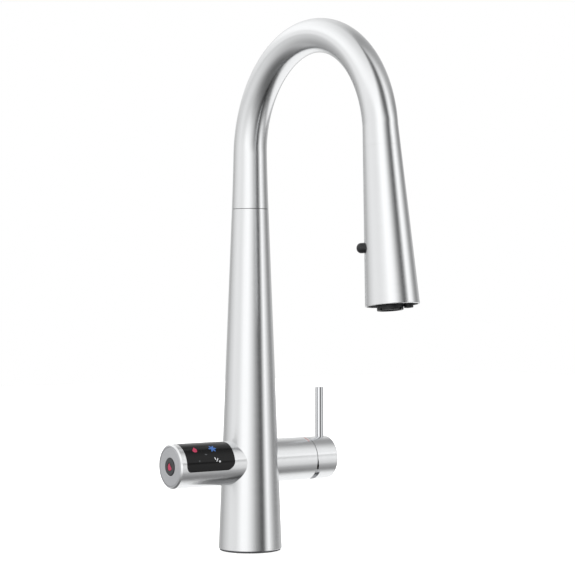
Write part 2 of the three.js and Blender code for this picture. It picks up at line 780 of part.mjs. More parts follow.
function spoutPieces() {
  const spigotOut = swivelPieces();
  place('gooseneck', gooseneck(spigotOut), brushedSteel);

  const section = new THREE.Shape().absarc(0, 0, hoseRadius, 0, 2 * Math.PI);
  const extrudePath = new HoseLine();
  const hose = new THREE.ExtrudeGeometry(section, { steps: 32, curveSegments: 4, extrudePath });
  place('spray_hose', hose, braidedSteel);

  const collarOut = spoutRadius - spoutWall - gap;
  const collarIn = connectorRadius + runningGap;
  const magnetFoot = -dockLength + 0.2;
  const magnetTop = magnetFoot + 3;
  place('docking_collar', turned([
    [collarIn, magnetTop + gap],
    [collarOut, magnetTop + gap],
    [collarOut, -1.5],
    [collarIn + 1, -1.5],
    [collarIn, -2.5],
  ], plain), blackPlastic, leg);
  place('dock_magnet', sleeve(collarOut, collarIn, magnetFoot, magnetTop, plain), magnetGrey, leg);
}

// ---------------------------------------------------------------- spray head

function headPieces() {
  const top = -dockLength - hairline / 2;
  const rim = -dockLength - headLength;
  const buttonAt = rim + sprayButtonRise;
  const topBore = spoutRadius - 1.4;
  const coneTop = -60;
  const insideAt = (z) => legRadius(-z) - headWall;
  const faceFoot = rim + faceRecess;
  const faceTop = faceFoot + faceThickness;
  const faceRadius = legRadius(-rim) - faceInset;
  const buttonHole = crossRod(sprayButtonRadius + gap, 8, legRadius(-rim) + 1, 0, buttonAt, plain);
  const shell = turned([
    [faceRadius + gap, rim],
    [legRadius(-rim) - 0.4, rim],
    [legRadius(-rim) - 0.03, rim + 0.5],
    [legRadius(-top), top],
    [topBore, top],
    [topBore, coneTop + 3],
    [insideAt(coneTop), coneTop],
    [insideAt(faceTop + 2), faceTop + 2],
    [faceRadius + gap, faceTop + 1],
  ], fine);
  place('spray_shell', cut(shell, buttonHole), brushedSteel, head);

  const ringOut = topBore - gap;
  const ringIn = connectorRadius + gap;
  place('dock_ring', sleeve(ringOut, ringIn, top - 1.7, top - 0.2, plain), springSteel, head);

  const coreTop = top - 2;
  const coreNeck = coneTop + 2;
  const coreFoot = faceTop + outletDepth;
  const coreRadius = insideAt(coneTop) - 0.8;
  const socketFloor = -connectorSocket;
  const core = turned([
    [0, coreFoot],
    [coreRadius, coreFoot],
    [coreRadius, coneTop - 1],
    [topBore - gap, coreNeck],
    [topBore - gap, coreTop],
    [ringIn, coreTop],
    [ringIn, socketFloor],
    [0, socketFloor],
  ], plain);
  const waterWay = rod(4.6, coreFoot - 1, socketFloor + 1, plain);
  const pocket = crossRod(buttonPocketRadius, buttonPocketFloor, coreRadius + 1, 0, buttonAt, plain);
  place('spray_core', cut(core, waterWay, pocket), blackPlastic, head);
  place('check_valve', sleeve(4.3, 2.2, socketFloor - 12, socketFloor - 1, plain), whitePlastic, head);

  const outletTop = coreFoot - gap;
  const outletFoot = faceTop + gap;
  const socketTop = outletFoot + 2.4;
  const outlet = turned([
    [0, outletFoot],
    [insideAt(outletFoot) - 0.7, outletFoot],
    [insideAt(outletTop) - 0.7, outletTop],
    [0, outletTop],
  ], plain);
  const bays = [
    [aeratorRadius + gap, aeratorOffset, outletFoot - 1, socketTop],
    [nozzleRadius + gap, -nozzleOffset, outletFoot - 1, socketTop],
    [4, aeratorOffset, socketTop - 1, outletTop + 1],
    [1.8, -nozzleOffset, socketTop - 1, outletTop + 1],
  ].map(([radius, y, low, high]) => rod(radius, low, high, plain).translate(0, y, 0));
  place('outlet_block', cut(outlet, ...bays), blackPlastic, head);

  const face = rod(faceRadius, faceFoot, faceTop, fine);
  const through = (radius, y) => rod(radius + gap, faceFoot - 1, faceTop + 1, plain).translate(0, y, 0);
  const aeratorHole = through(aeratorRadius, aeratorOffset);
  const nozzleHole = through(nozzleRadius, -nozzleOffset);
  place('face_plate', cut(face, aeratorHole, nozzleHole), blackPlastic, head);

  const aeratorFoot = rim - aeratorDrop;
  const aeratorTop = socketTop - gap;
  const aeratorBore = aeratorRadius - 1.8;
  const insertTop = aeratorFoot + insertRise;
  place('aerator_housing', turned([
    [aeratorBore, aeratorFoot],
    [aeratorRadius - 0.8, aeratorFoot],
    [aeratorRadius, aeratorFoot + 0.8],
    [aeratorRadius, aeratorTop],
    [aeratorBore - 1.5, aeratorTop],
    [aeratorBore - 1.5, insertTop + gap],
    [aeratorBore, insertTop + gap],
  ], plain).translate(0, aeratorOffset, 0), blackPlastic, head);

  // the insert's face has ring-shaped ribs round a middle stud
  const insertFoot = aeratorFoot + 1;
  const ribs = [[0, insertFoot]];
  const ribRoot = insertFoot + 1.6;
  for (let radius = 1.4; radius < aeratorBore - 1; radius += 2) {
    ribs.push([radius, insertFoot], [radius, ribRoot], [radius + 1, ribRoot], [radius + 1, insertFoot]);
  }
  const insertRadius = aeratorBore - gap;
  place('aerator_insert', turned([
    ...ribs,
    [insertRadius, insertFoot],
    [insertRadius, insertTop],
    [0, insertTop],
  ], plain).translate(0, aeratorOffset, 0), greyPlastic, head);

  const nozzleFoot = rim - nozzleDrop;
  place('filtered_nozzle', turned([
    [2, nozzleFoot],
    [nozzleRadius - 0.5, nozzleFoot],
    [nozzleRadius, nozzleFoot + 0.5],
    [nozzleRadius, socketTop - gap],
    [2, socketTop - gap],
  ], plain).translate(0, -nozzleOffset, 0), blackPlastic, head);

  // the button's parts run along +Y, out from the head's axis
  const outward = (geometry) => geometry.rotateX(-Math.PI / 2).translate(0, 0, buttonAt);
  const buttonEnd = legRadius(-buttonAt) + sprayButtonProud;
  const flangeFoot = buttonPocketFloor + gap + sprayButtonTravel + 0.8;
  const flangeTop = flangeFoot + 1.2;
  const dome = [];
  const domeHeight = 1.9;
  for (let i = 0; i <= 5; i += 1) {
    const angle = (i / 5) * (Math.PI / 2);
    dome.push([sprayButtonRadius * Math.cos(angle), buttonEnd - domeHeight + domeHeight * Math.sin(angle)]);
  }
  dome[dome.length - 1][0] = 0;
  place('spray_button', outward(turned([
    [0, flangeFoot],
    [buttonPocketRadius - gap, flangeFoot],
    [buttonPocketRadius - gap, flangeTop],
    [sprayButtonRadius, flangeTop],
    ...dome,
  ], plain)), blackPlastic, head);
  const [collarOut, collarIn] = [buttonPocketRadius - runningGap, sprayButtonRadius + gap];
  const collar = sleeve(collarOut, collarIn, flangeTop + gap, flangeTop + 2.1, plain);
  place('button_collar', outward(collar), rawBrass, head);
  const buttonSpring = coil(3.6, buttonPocketFloor + 0.1, flangeFoot - 0.1, 3);
  place('spray_button_spring', outward(buttonSpring), springSteel, head);

  // the hose ends in this connector, on which the head turns
  const connectorTop = -4;
  place('hose_connector', turned([
    [5, socketFloor + gap],
    [connectorRadius - 0.5, socketFloor + gap],
    [connectorRadius, socketFloor + 1],
    [connectorRadius, connectorTop - 1],
    [connectorRadius - 1, connectorTop],
    [5, connectorTop],
  ], plain), rawBrass, leg);
}

columnPieces();
waterway();
controlPieces();
mixerPieces();
spoutPieces();
headPieces();

export default tap;
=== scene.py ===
# %% [markdown]
# # A boiling water tap in brushed steel
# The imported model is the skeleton: it holds every piece at its real size, the bodies that move
# and the joints between them. This lesson dresses it. The facets of the outer metal are replaced
# by smooth surfaces worked out with numpy, and each surface gets the finish of the real one.

# %% Load the frame
import json
import bpy
import numpy as np
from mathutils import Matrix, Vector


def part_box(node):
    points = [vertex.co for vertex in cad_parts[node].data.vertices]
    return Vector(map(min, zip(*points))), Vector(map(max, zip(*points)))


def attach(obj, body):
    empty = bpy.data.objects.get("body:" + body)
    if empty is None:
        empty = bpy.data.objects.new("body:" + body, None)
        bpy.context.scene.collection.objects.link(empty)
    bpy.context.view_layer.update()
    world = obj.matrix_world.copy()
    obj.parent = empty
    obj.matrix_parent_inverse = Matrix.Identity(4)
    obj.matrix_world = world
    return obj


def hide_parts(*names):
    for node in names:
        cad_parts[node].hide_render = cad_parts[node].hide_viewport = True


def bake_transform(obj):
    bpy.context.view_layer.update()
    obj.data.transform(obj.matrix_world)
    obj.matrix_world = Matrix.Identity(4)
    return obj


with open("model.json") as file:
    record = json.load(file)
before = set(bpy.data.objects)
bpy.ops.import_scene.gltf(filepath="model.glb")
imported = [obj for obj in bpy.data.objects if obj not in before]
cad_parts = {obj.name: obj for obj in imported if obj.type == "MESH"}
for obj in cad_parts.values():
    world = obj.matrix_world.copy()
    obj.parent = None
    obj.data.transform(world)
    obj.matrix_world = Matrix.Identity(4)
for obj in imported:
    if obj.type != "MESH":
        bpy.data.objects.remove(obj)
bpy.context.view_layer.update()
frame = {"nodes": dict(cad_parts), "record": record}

# %% [markdown]
# ## Sizes
# The shapes here have to lie exactly where the skeleton has them, so they take their sizes from
# its nodes where a box can tell them, and repeat a few driving sizes of the tap where it can't.

# %% Units and sizes
MM = 0.001


def extent(node):
    """The lowest and highest corner of a node, as two arrays in millimetres."""
    low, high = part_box(node)
    return np.array(low) / MM, np.array(high) / MM


SEAL_TOP = extent("base_seal")[1][2]
COLUMN_TOP = extent("body_column")[1][2]
ARM_HEIGHT = (extent("end_cap")[0][2] + extent("end_cap")[1][2]) / 2
CONTROL_END = -extent("body_column")[0][0]
MIXER_SEAM = extent("body_column")[1][0]
MIXER_END = extent("handle_cap")[1][0]
PIN_AT = (extent("lever_pin")[0][0] + extent("lever_pin")[1][0]) / 2
PIN_TOP = extent("lever_pin")[1][2]
FOOT_RADIUS = 26.0
COLUMN_TAPER = 0.039
ARM_RADIUS = 17.9
ARM_CHAMFER = 1.2
CAP_RADIUS = 15.5
SPOUT_RADIUS = 13.3
NECK_FOOT = 280.4
ARCH_START = 325.0
ARCH_RADIUS = 86.5
LEG_LEAN = np.radians(6.15)
LEG_TAPER = 0.0515
DOCK = 16.0
HEAD_LENGTH = 118.0
HEAD_TURN = np.radians(54.8)
print("column top %.1f, arms at %.1f, ends %.1f and %.1f"
      % (COLUMN_TOP, ARM_HEIGHT, CONTROL_END, MIXER_END))


def column_radius(height):
    """The column is a straight cone: its radius falls by the taper for each millimetre of height."""
    return FOOT_RADIUS - COLUMN_TAPER * height


def leg_radius(drop):
    """The spout's leg and the head are one straight cone that widens downwards."""
    return SPOUT_RADIUS + LEG_TAPER * drop


# %% [markdown]
# ## Where each part of the tap has its own axes
# A turned piece is simplest to write about its own axis, as on a lathe. A four by four matrix
# then carries it to its place in the tap, and the object itself stays at the origin.

# %% Axes of the arms, the leg and the head
def axes(origin, x_axis, y_axis, z_axis):
    """A matrix whose columns are three directions and an origin."""
    matrix = np.eye(4)
    matrix[:3, :4] = np.array([x_axis, y_axis, z_axis, origin], float).T
    return matrix


def turned_about_z(matrix, angle):
    """The same axes, turned about their own z."""
    c, s = np.cos(angle), np.sin(angle)
    spin = np.array([[c, -s, 0, 0], [s, c, 0, 0], [0, 0, 1, 0], [0, 0, 0, 1]])
    return matrix @ spin


COLUMN = np.eye(4)
MIXER = axes([0, 0, ARM_HEIGHT], [0, 0, 1], [0, -1, 0], [1, 0, 0])
CONTROL = axes([0, 0, ARM_HEIGHT], [0, 0, 1], [0, 1, 0], [-1, 0, 0])
BEND = np.pi - LEG_LEAN
LEG_TOP = np.array([0, -ARCH_RADIUS * (1 - np.cos(BEND)), ARCH_START + ARCH_RADIUS * np.sin(BEND)])
LEG_UP = np.array([0, np.sin(LEG_LEAN), np.cos(LEG_LEAN)])
LEG = axes(LEG_TOP, [1, 0, 0], np.cross(LEG_UP, [1, 0, 0]), LEG_UP)
HEAD = turned_about_z(LEG, HEAD_TURN)
print("the leg starts at", LEG_TOP.round(1))


def carry(points, matrix):
    """Points in millimetres in a part's own axes, as points of the tap in metres."""
    return (points @ matrix[:3, :3].T + matrix[:3, 3]) * MM


# %% [markdown]
# ## Turned surfaces
# Nearly everything on this tap came off a lathe. A turned surface is a profile carried round an
# axis: the point at profile place i and angle a is (r cos a, r sin a, h). The shading normals are
# worked out from the profile as well, because a mirror-like metal shows the smallest error:
# where the profile bends gently they are shared, and where it has a corner they are split.

# %% Profiles with eased edges
def eased(corners, ease=0.3, steps=4):
    """Rounds the corners of a profile of (radius, height) points.
    A corner P becomes a quadratic curve from A, that lies ease before it, to B, that lies ease
    after it: (1-t)^2 A + 2t(1-t) P + t^2 B. A corner's third value is its own ease."""
    corners = [(c[0], c[1], c[2] if len(c) > 2 else ease) for c in corners]
    t = np.linspace(0, 1, steps + 1)[:, None]
    rounded = []
    for before, here, after in zip(corners[-1:] + corners[:-1], corners, corners[1:] + corners[:1]):
        corner = np.array(here[:2], float)
        back, ahead = np.array(before[:2]) - corner, np.array(after[:2]) - corner
        reach = min(here[2], 0.45 * np.hypot(*back), 0.45 * np.hypot(*ahead))
        if reach < 1e-3:
            rounded.append(corner[None])
            continue
        a = corner + back / np.hypot(*back) * reach
        b = corner + ahead / np.hypot(*ahead) * reach
        rounded.append((1 - t) ** 2 * a + 2 * t * (1 - t) * corner + t ** 2 * b)
    return np.concatenate(rounded)


# %% Profile normals
CORNER = np.cos(np.radians(32))


def profile_normals(profile):
    """Normals at the start and the end of each stretch of a closed profile.
    A stretch (dr, dh) points outwards along (dh, -dr). At a gentle bend the two stretches share
    the sum of theirs, each weighted by its length, so long straight stretches stay straight."""
    step = np.roll(profile, -1, 0) - profile
    length = np.maximum(np.hypot(step[:, 0], step[:, 1]), 1e-9)
    own = np.stack([step[:, 1], -step[:, 0]], 1) / length[:, None]
    weighted = own * length[:, None]
    shared = weighted + np.roll(weighted, 1, 0)
    shared /= np.maximum(np.linalg.norm(shared, axis=1), 1e-9)[:, None]
    gentle = (own * np.roll(own, 1, 0)).sum(1) > CORNER
    at_start = np.where(gentle[:, None], shared, own)
    at_end = np.where(np.roll(gentle, -1)[:, None], np.roll(shared, -1, 0), own)
    return at_start, at_end


# %% [markdown]
# Two ways of giving such a grid to Blender were open: a Screw modifier on a drawn profile, or the
# whole mesh at once from arrays. The arrays win here, since they also carry the brush map: its U
# runs across the brush lines and its V along them, in metres, whatever the shape does. The same
# function bends the axis, so the gooseneck is made as the turned pieces are.

# %% Build a mesh from arrays
def place_mesh(name, mesh):
    """Puts a mesh in the scene, as an object at the origin."""
    piece = bpy.data.objects.new(name, mesh)
    bpy.context.scene.collection.objects.link(piece)
    return piece


def add_piece(name, points, corners, keep, normals, brush_map):
    """Builds a mesh from face corners. corners holds four point numbers for each face, and keep
    says which of them count, so a face at a pole has three."""
    mesh = bpy.data.meshes.new(name)
    mesh.vertices.add(len(points))
    mesh.vertices.foreach_set("co", np.asarray(points, np.float32).ravel())
    sizes = keep.sum(1)
    mesh.loops.add(int(sizes.sum()))
    mesh.polygons.add(len(corners))
    mesh.polygons.foreach_set("loop_start", (np.cumsum(sizes) - sizes).astype(np.int32))
    mesh.polygons.foreach_set("vertices", corners[keep].astype(np.int32))
    mesh.update(calc_edges=True)
    set_normals_and_map(mesh, normals[keep], brush_map[keep])
    return place_mesh(name, mesh)


def set_normals_and_map(mesh, normals, brush_map):
    """Gives every face corner its own normal and its place in the brush map."""
    mesh.shade_smooth()
    layer = mesh.uv_layers.get("brush") or mesh.uv_layers.new(name="brush")
    layer.data.foreach_set("uv", np.asarray(brush_map, np.float32).ravel())
    mesh.normals_split_custom_set(np.asarray(normals, np.float32))


# %% Carry a profile along an axis
def grid_faces(pole, sides):
    """Joins the rows of a grid, each to the next and the last to the first. A row is a closed ring
    of points, or one point where pole says so, and two such rows are not joined. It gives each
    face's corners, which of them count, and its row, its place in the row and the next row."""
    sizes = np.where(pole, 1, sides)
    number = (np.cumsum(sizes) - sizes)[:, None] + np.where(pole[:, None], 0, np.arange(sides)[None])
    rows, places = np.meshgrid(np.arange(len(pole)), np.arange(sides), indexing="ij")
    joined = ~(pole & np.roll(pole, -1))[rows]
    i, j = rows[joined], places[joined]
    ahead, beside = (i + 1) % len(pole), (j + 1) % sides
    corners = np.stack([number[i, j], number[i, beside], number[ahead, beside], number[ahead, j]], 1)
    keep = np.ones(corners.shape, bool)
    keep[:, 1] = ~pole[i]
    keep[:, 3] = ~pole[ahead]
    return corners, keep, i, j, ahead


def swept(name, profile, frame_at, sides=128):
    """A closed profile of (radius, distance) carried round an axis that may bend. frame_at turns
    distances into points of the axis and three directions there: C, N, B and T, the way along it.
    The surface is C + r (cos a N + sin a B). A row on the axis is one point, and closes a pole."""
    profile = np.asarray(profile, float)
    centre, n_way, b_way, t_way = frame_at(profile[:, 1])
    angle = (np.arange(sides) * 2 * np.pi / sides)[None, :, None]
    radial = n_way[:, None] * np.cos(angle) + b_way[:, None] * np.sin(angle)
    points = centre[:, None] + profile[:, 0][:, None, None] * radial
    pole = profile[:, 0] < 1e-6
    used = ~pole[:, None] | (np.arange(sides)[None] == 0)
    corners, keep, i, j, ahead = grid_faces(pole, sides)

    at_start, at_end = profile_normals(profile)
    row, turn = np.stack([i, i, ahead, ahead], 1), np.stack([j, j + 1, j + 1, j], 1)
    slope = np.stack([at_start[i], at_start[i], at_end[i], at_end[i]], 1)
    normals = radial[row, turn % sides] * slope[..., :1] + t_way[row] * slope[..., 1:]
    along = np.concatenate([[0], np.cumsum(np.hypot(*(np.roll(profile, -1, 0) - profile).T))])
    across = np.stack([along[i], along[i], along[i + 1], along[i + 1]], 1)
    brush_map = np.stack([across, turn * 2 * np.pi / sides * profile[:, 0].max()], 2) * MM
    return add_piece(name, points[used] * MM, corners, keep, normals, brush_map)


def turned(name, profile, matrix, sides=128):
    """A closed profile carried round the z axis of the given axes."""
    def straight(distance):
        ways = [np.broadcast_to(matrix[:3, k], (len(distance), 3)) for k in range(3)]
        return matrix[:3, 3] + distance[:, None] * matrix[:3, 2], *ways
    return swept(name, profile, straight, sides)


def rod(low, high, radius):
    """The profile of a solid rod."""
    return [(0, low), (radius, low), (radius, high), (0, high)]


# %% [markdown]
# ## Cutting, and the normals of what is left
# The arms grow out of the column, and the arm has a window for the panel. A boolean makes such a
# body from clean turned ones, as the real body is brazed and milled. What it leaves are long,
# thin faces whose own normals shade badly, so every face looks up which known surface it lies on
# and takes its normals and its brush map from that surface's formula.

# %% Join and cut
def combine(piece, tool, operation="DIFFERENCE"):
    """Joins the tool to the piece or cuts it away, and removes the tool."""
    modifier = piece.modifiers.new("combine", "BOOLEAN")
    modifier.operation = operation
    modifier.solver = "EXACT"
    modifier.object = tool
    evaluated = piece.evaluated_get(bpy.context.evaluated_depsgraph_get())
    mesh = bpy.data.meshes.new_from_object(evaluated)
    piece.modifiers.clear()
    old, piece.data = piece.data, mesh
    mesh.name = piece.name
    bpy.data.objects.remove(tool)
    bpy.data.meshes.remove(old)
    return piece


# %% Known surfaces
def cone_surface(matrix, radius_at, slope=0.0):
    """A surface of revolution whose radius at height h is radius_at(h), with a constant slope.
    For points it gives the distance from it, its normal (radial - slope z), the height and the
    angle round the axis."""
    def look_up(points):
        own = (points / MM - matrix[:3, 3]) @ matrix[:3, :3]
        radius = np.maximum(np.hypot(own[:, 0], own[:, 1]), 1e-6)
        normal = np.stack([own[:, 0] / radius, own[:, 1] / radius, np.full(len(own), -slope)], 1)
        normal /= np.hypot(1, slope)
        angle = np.arctan2(own[:, 1], own[:, 0])
        return radius - radius_at(own[:, 2]), normal @ matrix[:3, :3].T, own[:, 2], angle
    return look_up


# %% Shade by formula
def read(items, attribute, width, kind):
    """An attribute of all the items of a mesh, as an array with one row for each item."""
    values = np.empty(len(items) * width, kind)
    items.foreach_get(attribute, values)
    return values.reshape(-1, width)


def near(angle, middle):
    """Angles taken to within half a turn of a middle, so that no face's map wraps round."""
    return (angle - middle + np.pi) % (2 * np.pi) - np.pi + middle


# how far off a surface a point may be in millimetres, how alike its normal and a face's have to be,
# and how much of a turned face's normal may point round the axis
ON_SURFACE = 0.02
FACING = 0.9
ROUND_THE_AXIS = 0.02
# the radius at which a facing cut's rings are mapped at their true length, in millimetres
RING_RADIUS = 10


def shade_by_formula(piece, surfaces, turned_axes=()):
    """surfaces is a list of (look up, radius, material place). A face belongs to the first surface
    that all its points lie on and that it faces along. A face left over that was turned about one
    of turned_axes, so that its normal has no part round that axis, keeps its slope all the way
    round, and its map runs outwards as the rings of a facing cut do. Other faces stay flat."""
    mesh = piece.data
    co = read(mesh.vertices, "co", 3, np.float32).astype(float)
    corner = read(mesh.loops, "vertex_index", 1, np.int32)[:, 0]
    start = read(mesh.polygons, "loop_start", 1, np.int32)[:, 0]
    face_normal = read(mesh.polygons, "normal", 3, np.float32)
    size = np.diff(np.append(start, len(corner)))
    face = np.repeat(np.arange(len(start)), size)
    middle = np.add.reduceat(co[corner], start) / size[:, None]

    normals = face_normal[face].astype(float)
    brush_map = co[corner][:, :2] / MM
    place = np.zeros(len(start), np.int32)
    free = np.ones(len(start), bool)
    for look_up, radius, material in surfaces:
        distance, normal, height, angle = look_up(co)
        touches = np.logical_and.reduceat(np.abs(distance[corner]) < ON_SURFACE, start)
        _, middle_normal, _, middle_angle = look_up(middle)
        alike = (middle_normal * face_normal).sum(1)
        mine = free & touches & (np.abs(alike) > FACING)
        at = mine[face]
        turn = near(angle[corner], middle_angle[face])
        normals[at] = (normal[corner] * np.sign(alike)[face][:, None])[at]
        brush_map[at] = np.stack([height[corner], turn * radius], 1)[at]
        place[mine] = material
        free &= ~mine
    for matrix in turned_axes:
        own, centre = ((points / MM - matrix[:3, 3]) @ matrix[:3, :3] for points in (co[corner], middle))
        slope = face_normal @ matrix[:3, :3]
        out = centre[:, :2] / np.maximum(np.hypot(centre[:, 0], centre[:, 1]), 1e-6)[:, None]
        outward = (slope[:, :2] * out).sum(1)
        mine = free & (np.abs(slope[:, 1] * out[:, 0] - slope[:, 0] * out[:, 1]) < ROUND_THE_AXIS)
        at = mine[face]
        radius = np.maximum(np.hypot(own[:, 0], own[:, 1]), 1e-6)
        ring = own[:, :2] / radius[:, None] * outward[face][:, None]
        normals[at] = (np.column_stack([ring, slope[face][:, 2]]) @ matrix[:3, :3].T)[at]
        turn = near(np.arctan2(own[:, 1], own[:, 0]), np.arctan2(centre[:, 1], centre[:, 0])[face])
        brush_map[at] = np.stack([radius + own[:, 2], turn * RING_RADIUS], 1)[at]
        free &= ~mine
    set_normals_and_map(mesh, normals, brush_map * MM)
    mesh.polygons.foreach_set("material_index", place)
    mesh.update()
    print(piece.name, len(start), "faces,", int(free.sum()), "of them flat")


# %% [markdown]
# ## The column and its two arms
# On the real tap the column is a drawn cone, and the arms are tubes brazed on and polished over,
# so no seam shows. Lofting one skin over all three would be possible, but the saddles would have
# to be fitted by hand. Solid forms are joined, and then hollowed, which is also how it is made.

# %% Outline of the panel
PANEL_START, PANEL_END = 26.4, 72.0
PANEL_TILT, PANEL_HALF = np.radians(40), np.radians(52)
PANEL_CORNER = np.array([7.5, 5.7])
PANEL_END_CORNER = np.array([3.6, 3.6])
PANEL_OUT = np.array([0, -np.cos(PANEL_TILT), np.sin(PANEL_TILT)])
PANEL_ACROSS = -np.array([0, np.sin(PANEL_TILT), np.cos(PANEL_TILT)])
PANEL = axes([0, 0, ARM_HEIGHT], [-1, 0, 0], PANEL_ACROSS, PANEL_OUT)


def panel_outline(inset, fill=0):
    """The panel's rounded outline as (along, across) points, with a quarter ellipse for each
    corner. Going round by angle a, a point is its corner's centre plus (ra cos a, rb sin a).
    The two ends run across the tube, and fill is the number of points added on each of them."""
    half = ARM_RADIUS * np.sin(PANEL_HALF) - inset
    middle, reach = (PANEL_START + PANEL_END) / 2, (PANEL_END - PANEL_START) / 2 - inset
    count = 96
    a = (np.arange(count + 1) + 0.5) * 2 * np.pi / count
    corner = np.where(np.cos(a) > 0, PANEL_END_CORNER[:, None], PANEL_CORNER[:, None]) - inset
    along = middle + np.sign(np.cos(a)) * (reach - corner[0]) + corner[0] * np.cos(a)
    across = np.sign(np.sin(a)) * (half - corner[1]) + corner[1] * np.sin(a)
    added = np.linspace(-1, 0, fill + 2)[1:-1]
    places = np.sort(np.concatenate([np.arange(count), count / 2 + added, count + added]))
    return np.stack([np.interp(places, np.arange(count + 1), line) for line in (along, across)], 1)


def prism(name, outline, low, high, matrix):
    """A straight bar: the outline (x, y) at z low and z high, with its two flat ends."""
    following = np.roll(outline, -1, 0)
    if (outline[:, 0] * following[:, 1] - outline[:, 1] * following[:, 0]).sum() < 0:
        outline = outline[::-1]
    count = len(outline)
    ends = [np.column_stack([outline, np.full(count, z)]) for z in (low, high)]
    j = np.arange(count)
    walls = np.stack([j, (j + 1) % count, (j + 1) % count + count, j + count], 1).tolist()
    mesh = bpy.data.meshes.new(name)
    faces = walls + [j[::-1].tolist(), (j + count).tolist()]
    mesh.from_pydata(carry(np.concatenate(ends), matrix), [], faces)
    return place_mesh(name, mesh)


# %% Hollows, and the body
# each hollow is a profile of (radius, place along the axis)
CAP_SEAT, CAP_BORE = CONTROL_END - 3.1, CAP_RADIUS + 0.15
COLUMN_BORE = [(0, -5), (22.6, -5), (22.4, 16), (13.4, 245), (12.4, 245), (12.4, 290), (0, 290)]
CONTROL_BORE = [(0, 26), (14.6, 26), (14.6, CAP_SEAT), (CAP_BORE, CAP_SEAT),
                (CAP_BORE, CONTROL_END + 1), (0, CONTROL_END + 1)]
MIXER_BORE = rod(26, MIXER_SEAM + 1, 13.2)


def column_body():
    """Cone and arms joined, then the hollows of the foot, the swivel, both arms and the panel."""
    sides = 224
    cone = [(0, SEAL_TOP), (column_radius(SEAL_TOP), SEAL_TOP, 0.6),
            (column_radius(COLUMN_TOP), COLUMN_TOP, 0.15), (0, COLUMN_TOP)]
    body = turned("column_skin", eased(cone, 0), COLUMN, sides)
    arm = [(0, 0), (ARM_RADIUS, 0), (ARM_RADIUS, CONTROL_END - ARM_CHAMFER),
           (ARM_RADIUS - ARM_CHAMFER, CONTROL_END), (0, CONTROL_END)]
    combine(body, turned("arm", arm, CONTROL, sides), "UNION")
    housing = [(0, 0), (ARM_RADIUS, 0), (ARM_RADIUS, MIXER_SEAM, 0.25), (0, MIXER_SEAM)]
    combine(body, turned("arm", eased(housing, 0), MIXER, sides), "UNION")
    combine(body, turned("hollow", COLUMN_BORE, COLUMN, 96))
    combine(body, turned("hollow", CONTROL_BORE, CONTROL, 128))
    combine(body, turned("hollow", MIXER_BORE, MIXER, 128))
    combine(body, prism("window", panel_outline(-0.02), 3, ARM_RADIUS + 3, PANEL))
    return body


# places in the body's list of finishes, whose first is for its hollows and faced ends, and the
# radius at which the cone's map is true
COLUMN_FINISH, ARM_FINISH = 1, 2
COLUMN_MAP_RADIUS = 22
column = column_body()
arm_look = cone_surface(MIXER, lambda height: ARM_RADIUS)
bevel_look = cone_surface(CONTROL, lambda height: ARM_RADIUS - ARM_CHAMFER + CONTROL_END - height, -1.0)
shade_by_formula(column, [
    (cone_surface(COLUMN, column_radius, -COLUMN_TAPER), COLUMN_MAP_RADIUS, COLUMN_FINISH),
    (arm_look, ARM_RADIUS, ARM_FINISH),
    (bevel_look, ARM_RADIUS, ARM_FINISH),
], [MIXER, COLUMN])


# %% [markdown]
# ## The gooseneck
# A tube bent round a former. Its centre line is a straight rise, an arc and a short straight leg,
# so a point on it follows from the distance along it alone, and a profile of (radius, distance)
# is carried along it just as the turned pieces are carried round theirs.

# %% Gooseneck
NECK_RISE = ARCH_START - NECK_FOOT
ARCH_END = NECK_RISE + ARCH_RADIUS * BEND
NECK_FLARE = column_radius(NECK_FOOT) - SPOUT_RADIUS
NECK_LENGTH = 2 * NECK_FLARE / COLUMN_TAPER
SPOUT_BORE = 11.7
SEAT_BORE, SEAT_DEPTH = 11.1, 24
SEAM_DEPTH, SEAM_HEIGHT = 0.7, 0.5
PART_GAP = 0.02


def spout_frame(distance):
    """Centre line: the bend at a distance d is (d - rise) / R, held between 0 and the whole bend.
    The way along is (0, -sin, cos) of it, and what is straight before or after is added."""
    bend = np.clip((distance - NECK_RISE) / ARCH_RADIUS, 0, BEND)
    nought, one = np.zeros_like(bend), np.ones_like(bend)
    along = np.stack([nought, -np.sin(bend), np.cos(bend)], 1)
    arc = [nought, -ARCH_RADIUS * (1 - np.cos(bend)), ARCH_START + ARCH_RADIUS * np.sin(bend)]
    straight = distance - NECK_RISE - ARCH_RADIUS * bend
    centre = np.stack(arc, 1) + along * straight[:, None]
    side = np.stack([one, nought, nought], 1)
    return centre, side, np.cross(along, side), along


def spout_outside(distance):
    """The neck leaves the column at the column's taper and eases off as a square, then the arch
    is even, and the leg widens evenly."""
    flare = NECK_FLARE * np.clip(1 - distance / NECK_LENGTH, 0, 1) ** 2
    return leg_radius(np.maximum(distance - ARCH_END, 0)) + flare


def gooseneck():
    """The outside, the bore and the seat of the swivel in the foot, as one closed profile."""
    end = ARCH_END + DOCK - PART_GAP
    rise, arch = np.linspace(SEAM_HEIGHT, NECK_RISE, 40), np.linspace(NECK_RISE, ARCH_END, 150)[1:]
    outside = np.concatenate([[-SEAM_HEIGHT], rise, arch, [end - 6, end]])
    bore = np.concatenate([[end], np.linspace(end - 2, SEAT_DEPTH + 2, 60)])
    seam = spout_outside(0) - SEAM_DEPTH
    return swept("gooseneck_skin", np.concatenate([
        np.column_stack([spout_outside(outside), outside]),
        np.column_stack([np.full(len(bore), SPOUT_BORE), bore]),
        [(SEAT_BORE, SEAT_DEPTH), (SEAT_BORE, 0), (seam, 0), (seam, -SEAM_HEIGHT)],
    ]), spout_frame, 112)


spout = gooseneck()
print("gooseneck of", len(spout.data.polygons), "faces, arch ends at", round(ARCH_END, 1))

# %% [markdown]
# ## The spray head
# A cone that carries on the line of the leg. Its skin has one hole for the button, and from below
# it shows a dark plate that holds a large aerator and a small outlet.

